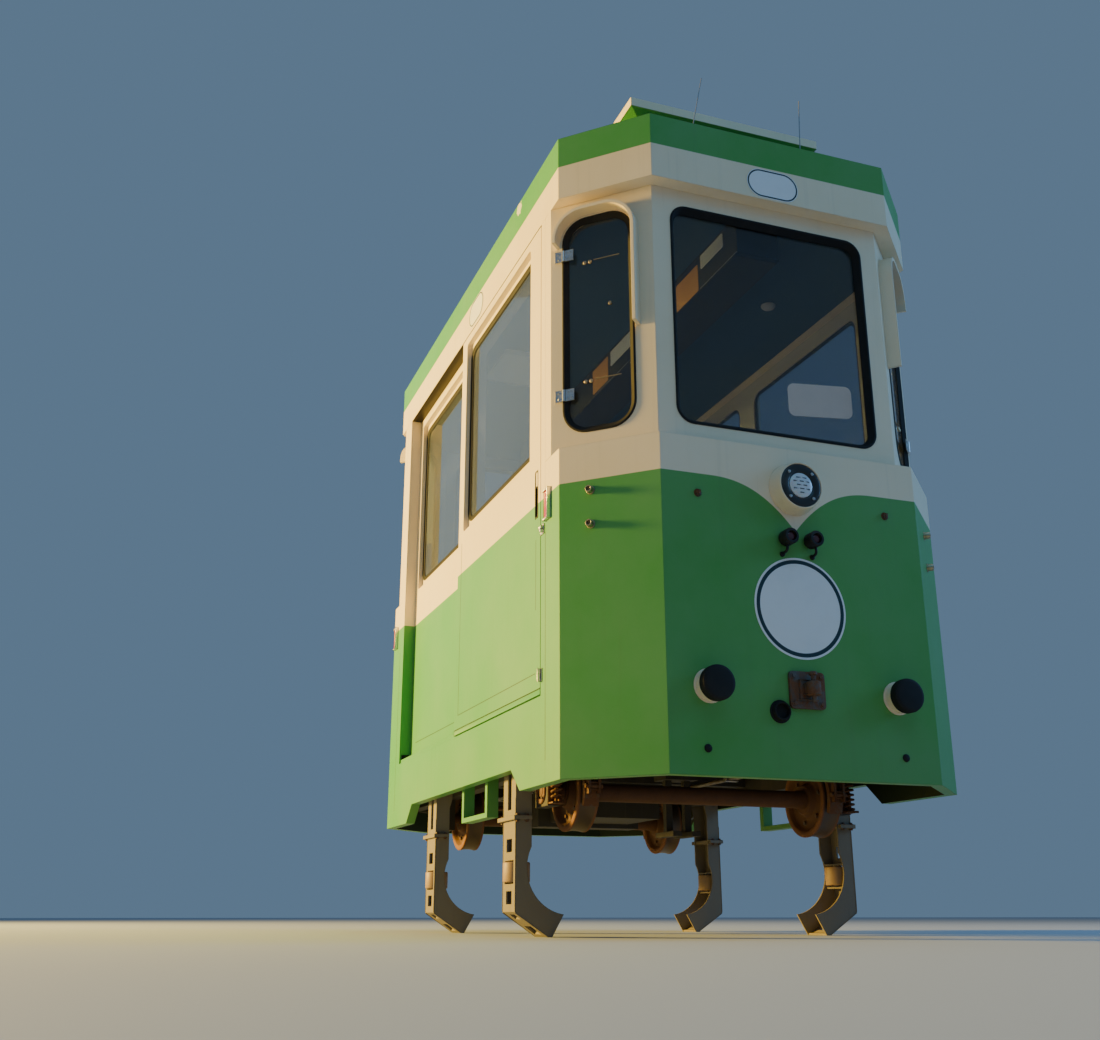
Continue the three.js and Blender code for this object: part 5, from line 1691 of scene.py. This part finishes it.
def woven_cloth():
    """Plain woven cloth in mottled green, slightly fuzzy."""
    made, tree, shader = material("green woven cloth")
    place = node(tree, "TexCoord").outputs["Object"]
    part = node(tree, "SeparateXYZ", {0: place}).outputs
    rise = math_node(tree, "ADD", part[1], part[2])
    warp = math_node(tree, "SINE", math_node(tree, "MULTIPLY", part[0], WEAVE * 2))
    weft = math_node(tree, "SINE", math_node(tree, "MULTIPLY", rise, WEAVE * 2))
    weave = math_node(tree, "MULTIPLY", warp, weft)
    cloud = noise(tree, place, 6.0, 6.0, 0.7)
    fuzz = noise(tree, place, 420.0, 3.0)
    tone = mix_colors(tree, cloud, (0.040, 0.085, 0.035, 1), (0.085, 0.150, 0.060, 1))
    thread = mix_colors(tree, math_node(tree, "MULTIPLY", fuzz, 0.4), tone, (0.16, 0.22, 0.12, 1))
    feed(tree, shader, {
        "Base Color": thread,
        "Roughness": ramp(tree, fuzz, to=(0.80, 0.98)),
        "Sheen Weight": 0.35,
        "Sheen Roughness": 0.5,
    })
    set_bump(tree, shader, 0.3, 0.0008, math_node(tree, "ADD", weave, fuzz))
    return made


def cushion(name, low, high, crown, cloth_finish):
    """A padded piece in a box: crown is the axis and way of its soft face, and the far face is flat."""
    axis, way = crown
    inner_low = [low[i] + (CUSHION_INSET if i != axis else CUSHION_GAP) for i in range(3)]
    inner_high = [high[i] - (CUSHION_INSET if i != axis else CUSHION_GAP) for i in range(3)]
    if way > 0:
        inner_high[axis] = high[axis] - CUSHION_INSET
    else:
        inner_low[axis] = low[axis] + CUSHION_INSET
    bm = bmesh.new()
    soft_box(bm, (inner_low[0], -inner_high[1], inner_low[2]),
             (inner_high[0], -inner_low[1], inner_high[2]), RIGHT, 0.018, 4)
    data = bpy.data.meshes.new(name)
    bm.to_mesh(data)
    bm.free()
    made = bpy.data.objects.new(name, data)
    bpy.context.scene.collection.objects.link(made)
    remesh = made.modifiers.new("remesh", "REMESH")
    remesh.mode = "VOXEL"
    remesh.voxel_size = CUSHION_CELL
    bpy.context.view_layer.update()
    fine = bpy.data.meshes.new_from_object(made.evaluated_get(bpy.context.evaluated_depsgraph_get()))
    made.modifiers.clear()
    made.data = fine
    bpy.data.meshes.remove(data)
    places = [low[0] + (high[0] - low[0]) * k / SEAT_PLACES for k in range(1, SEAT_PLACES)]
    flat_at = low[axis] if way > 0 else high[axis]
    held = made.vertex_groups.new(name="held")
    for vert in fine.vertices:
        off = min(abs(vert.co.x - x) for x in places)
        if abs(vert.co[axis] - flat_at) < 0.010:
            held.add([vert.index], 1.0, "REPLACE")
        elif off < DIP_REACH:
            vert.co[axis] -= way * DIP_DEPTH * (1 - (off / DIP_REACH) ** 2)
            if off < SEWN_REACH:
                held.add([vert.index], 1.0, "REPLACE")
    rest = [vert.co.copy() for vert in fine.vertices]
    cloth = made.modifiers.new("cloth", "CLOTH")
    cloth.settings.use_pressure = True
    cloth.settings.uniform_pressure_force = 4.0
    cloth.settings.vertex_group_mass = "held"
    cloth.settings.effector_weights.gravity = 0.0
    scene = bpy.context.scene
    for moment in range(1, 21):
        scene.frame_set(moment)
    blown = bpy.data.meshes.new_from_object(made.evaluated_get(bpy.context.evaluated_depsgraph_get()))
    made.modifiers.clear()
    scene.frame_set(1)
    for vert, before in zip(blown.vertices, rest):
        move = vert.co - before
        if move.length > CUSHION_CAP:
            move *= CUSHION_CAP / move.length
        vert.co = before + move
    made.data = blown
    for face in made.data.polygons:
        face.use_smooth = True
    made.data.materials.clear()
    made.data.materials.append(cloth_finish)
    made.vertex_groups.clear()
    smooth = made.modifiers.new("smooth", "SUBSURF")
    smooth.levels = smooth.render_levels = 1
    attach(made, "car")
    return made


bench_cloth = woven_cloth()
piping = bmesh.new()
for name, crown in (("bench_seat", (2, 1)), ("bench_back", (1, -1))):
    low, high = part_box(name)
    made = cushion(name + "_cushion", low, high, crown, bench_cloth)
    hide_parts(name)
    if name == "bench_seat":
        line_y, line_z = low.y + 0.009, low.z + 0.055
    else:
        line_y, line_z = low.y + 0.012, high.z - 0.012
    pipe(piping, [(low.x + 0.014, line_y, line_z), (high.x - 0.014, line_y, line_z)], PIPING_R, 0.01, 10)
add_piece("bench_piping", piping, bench_cloth)
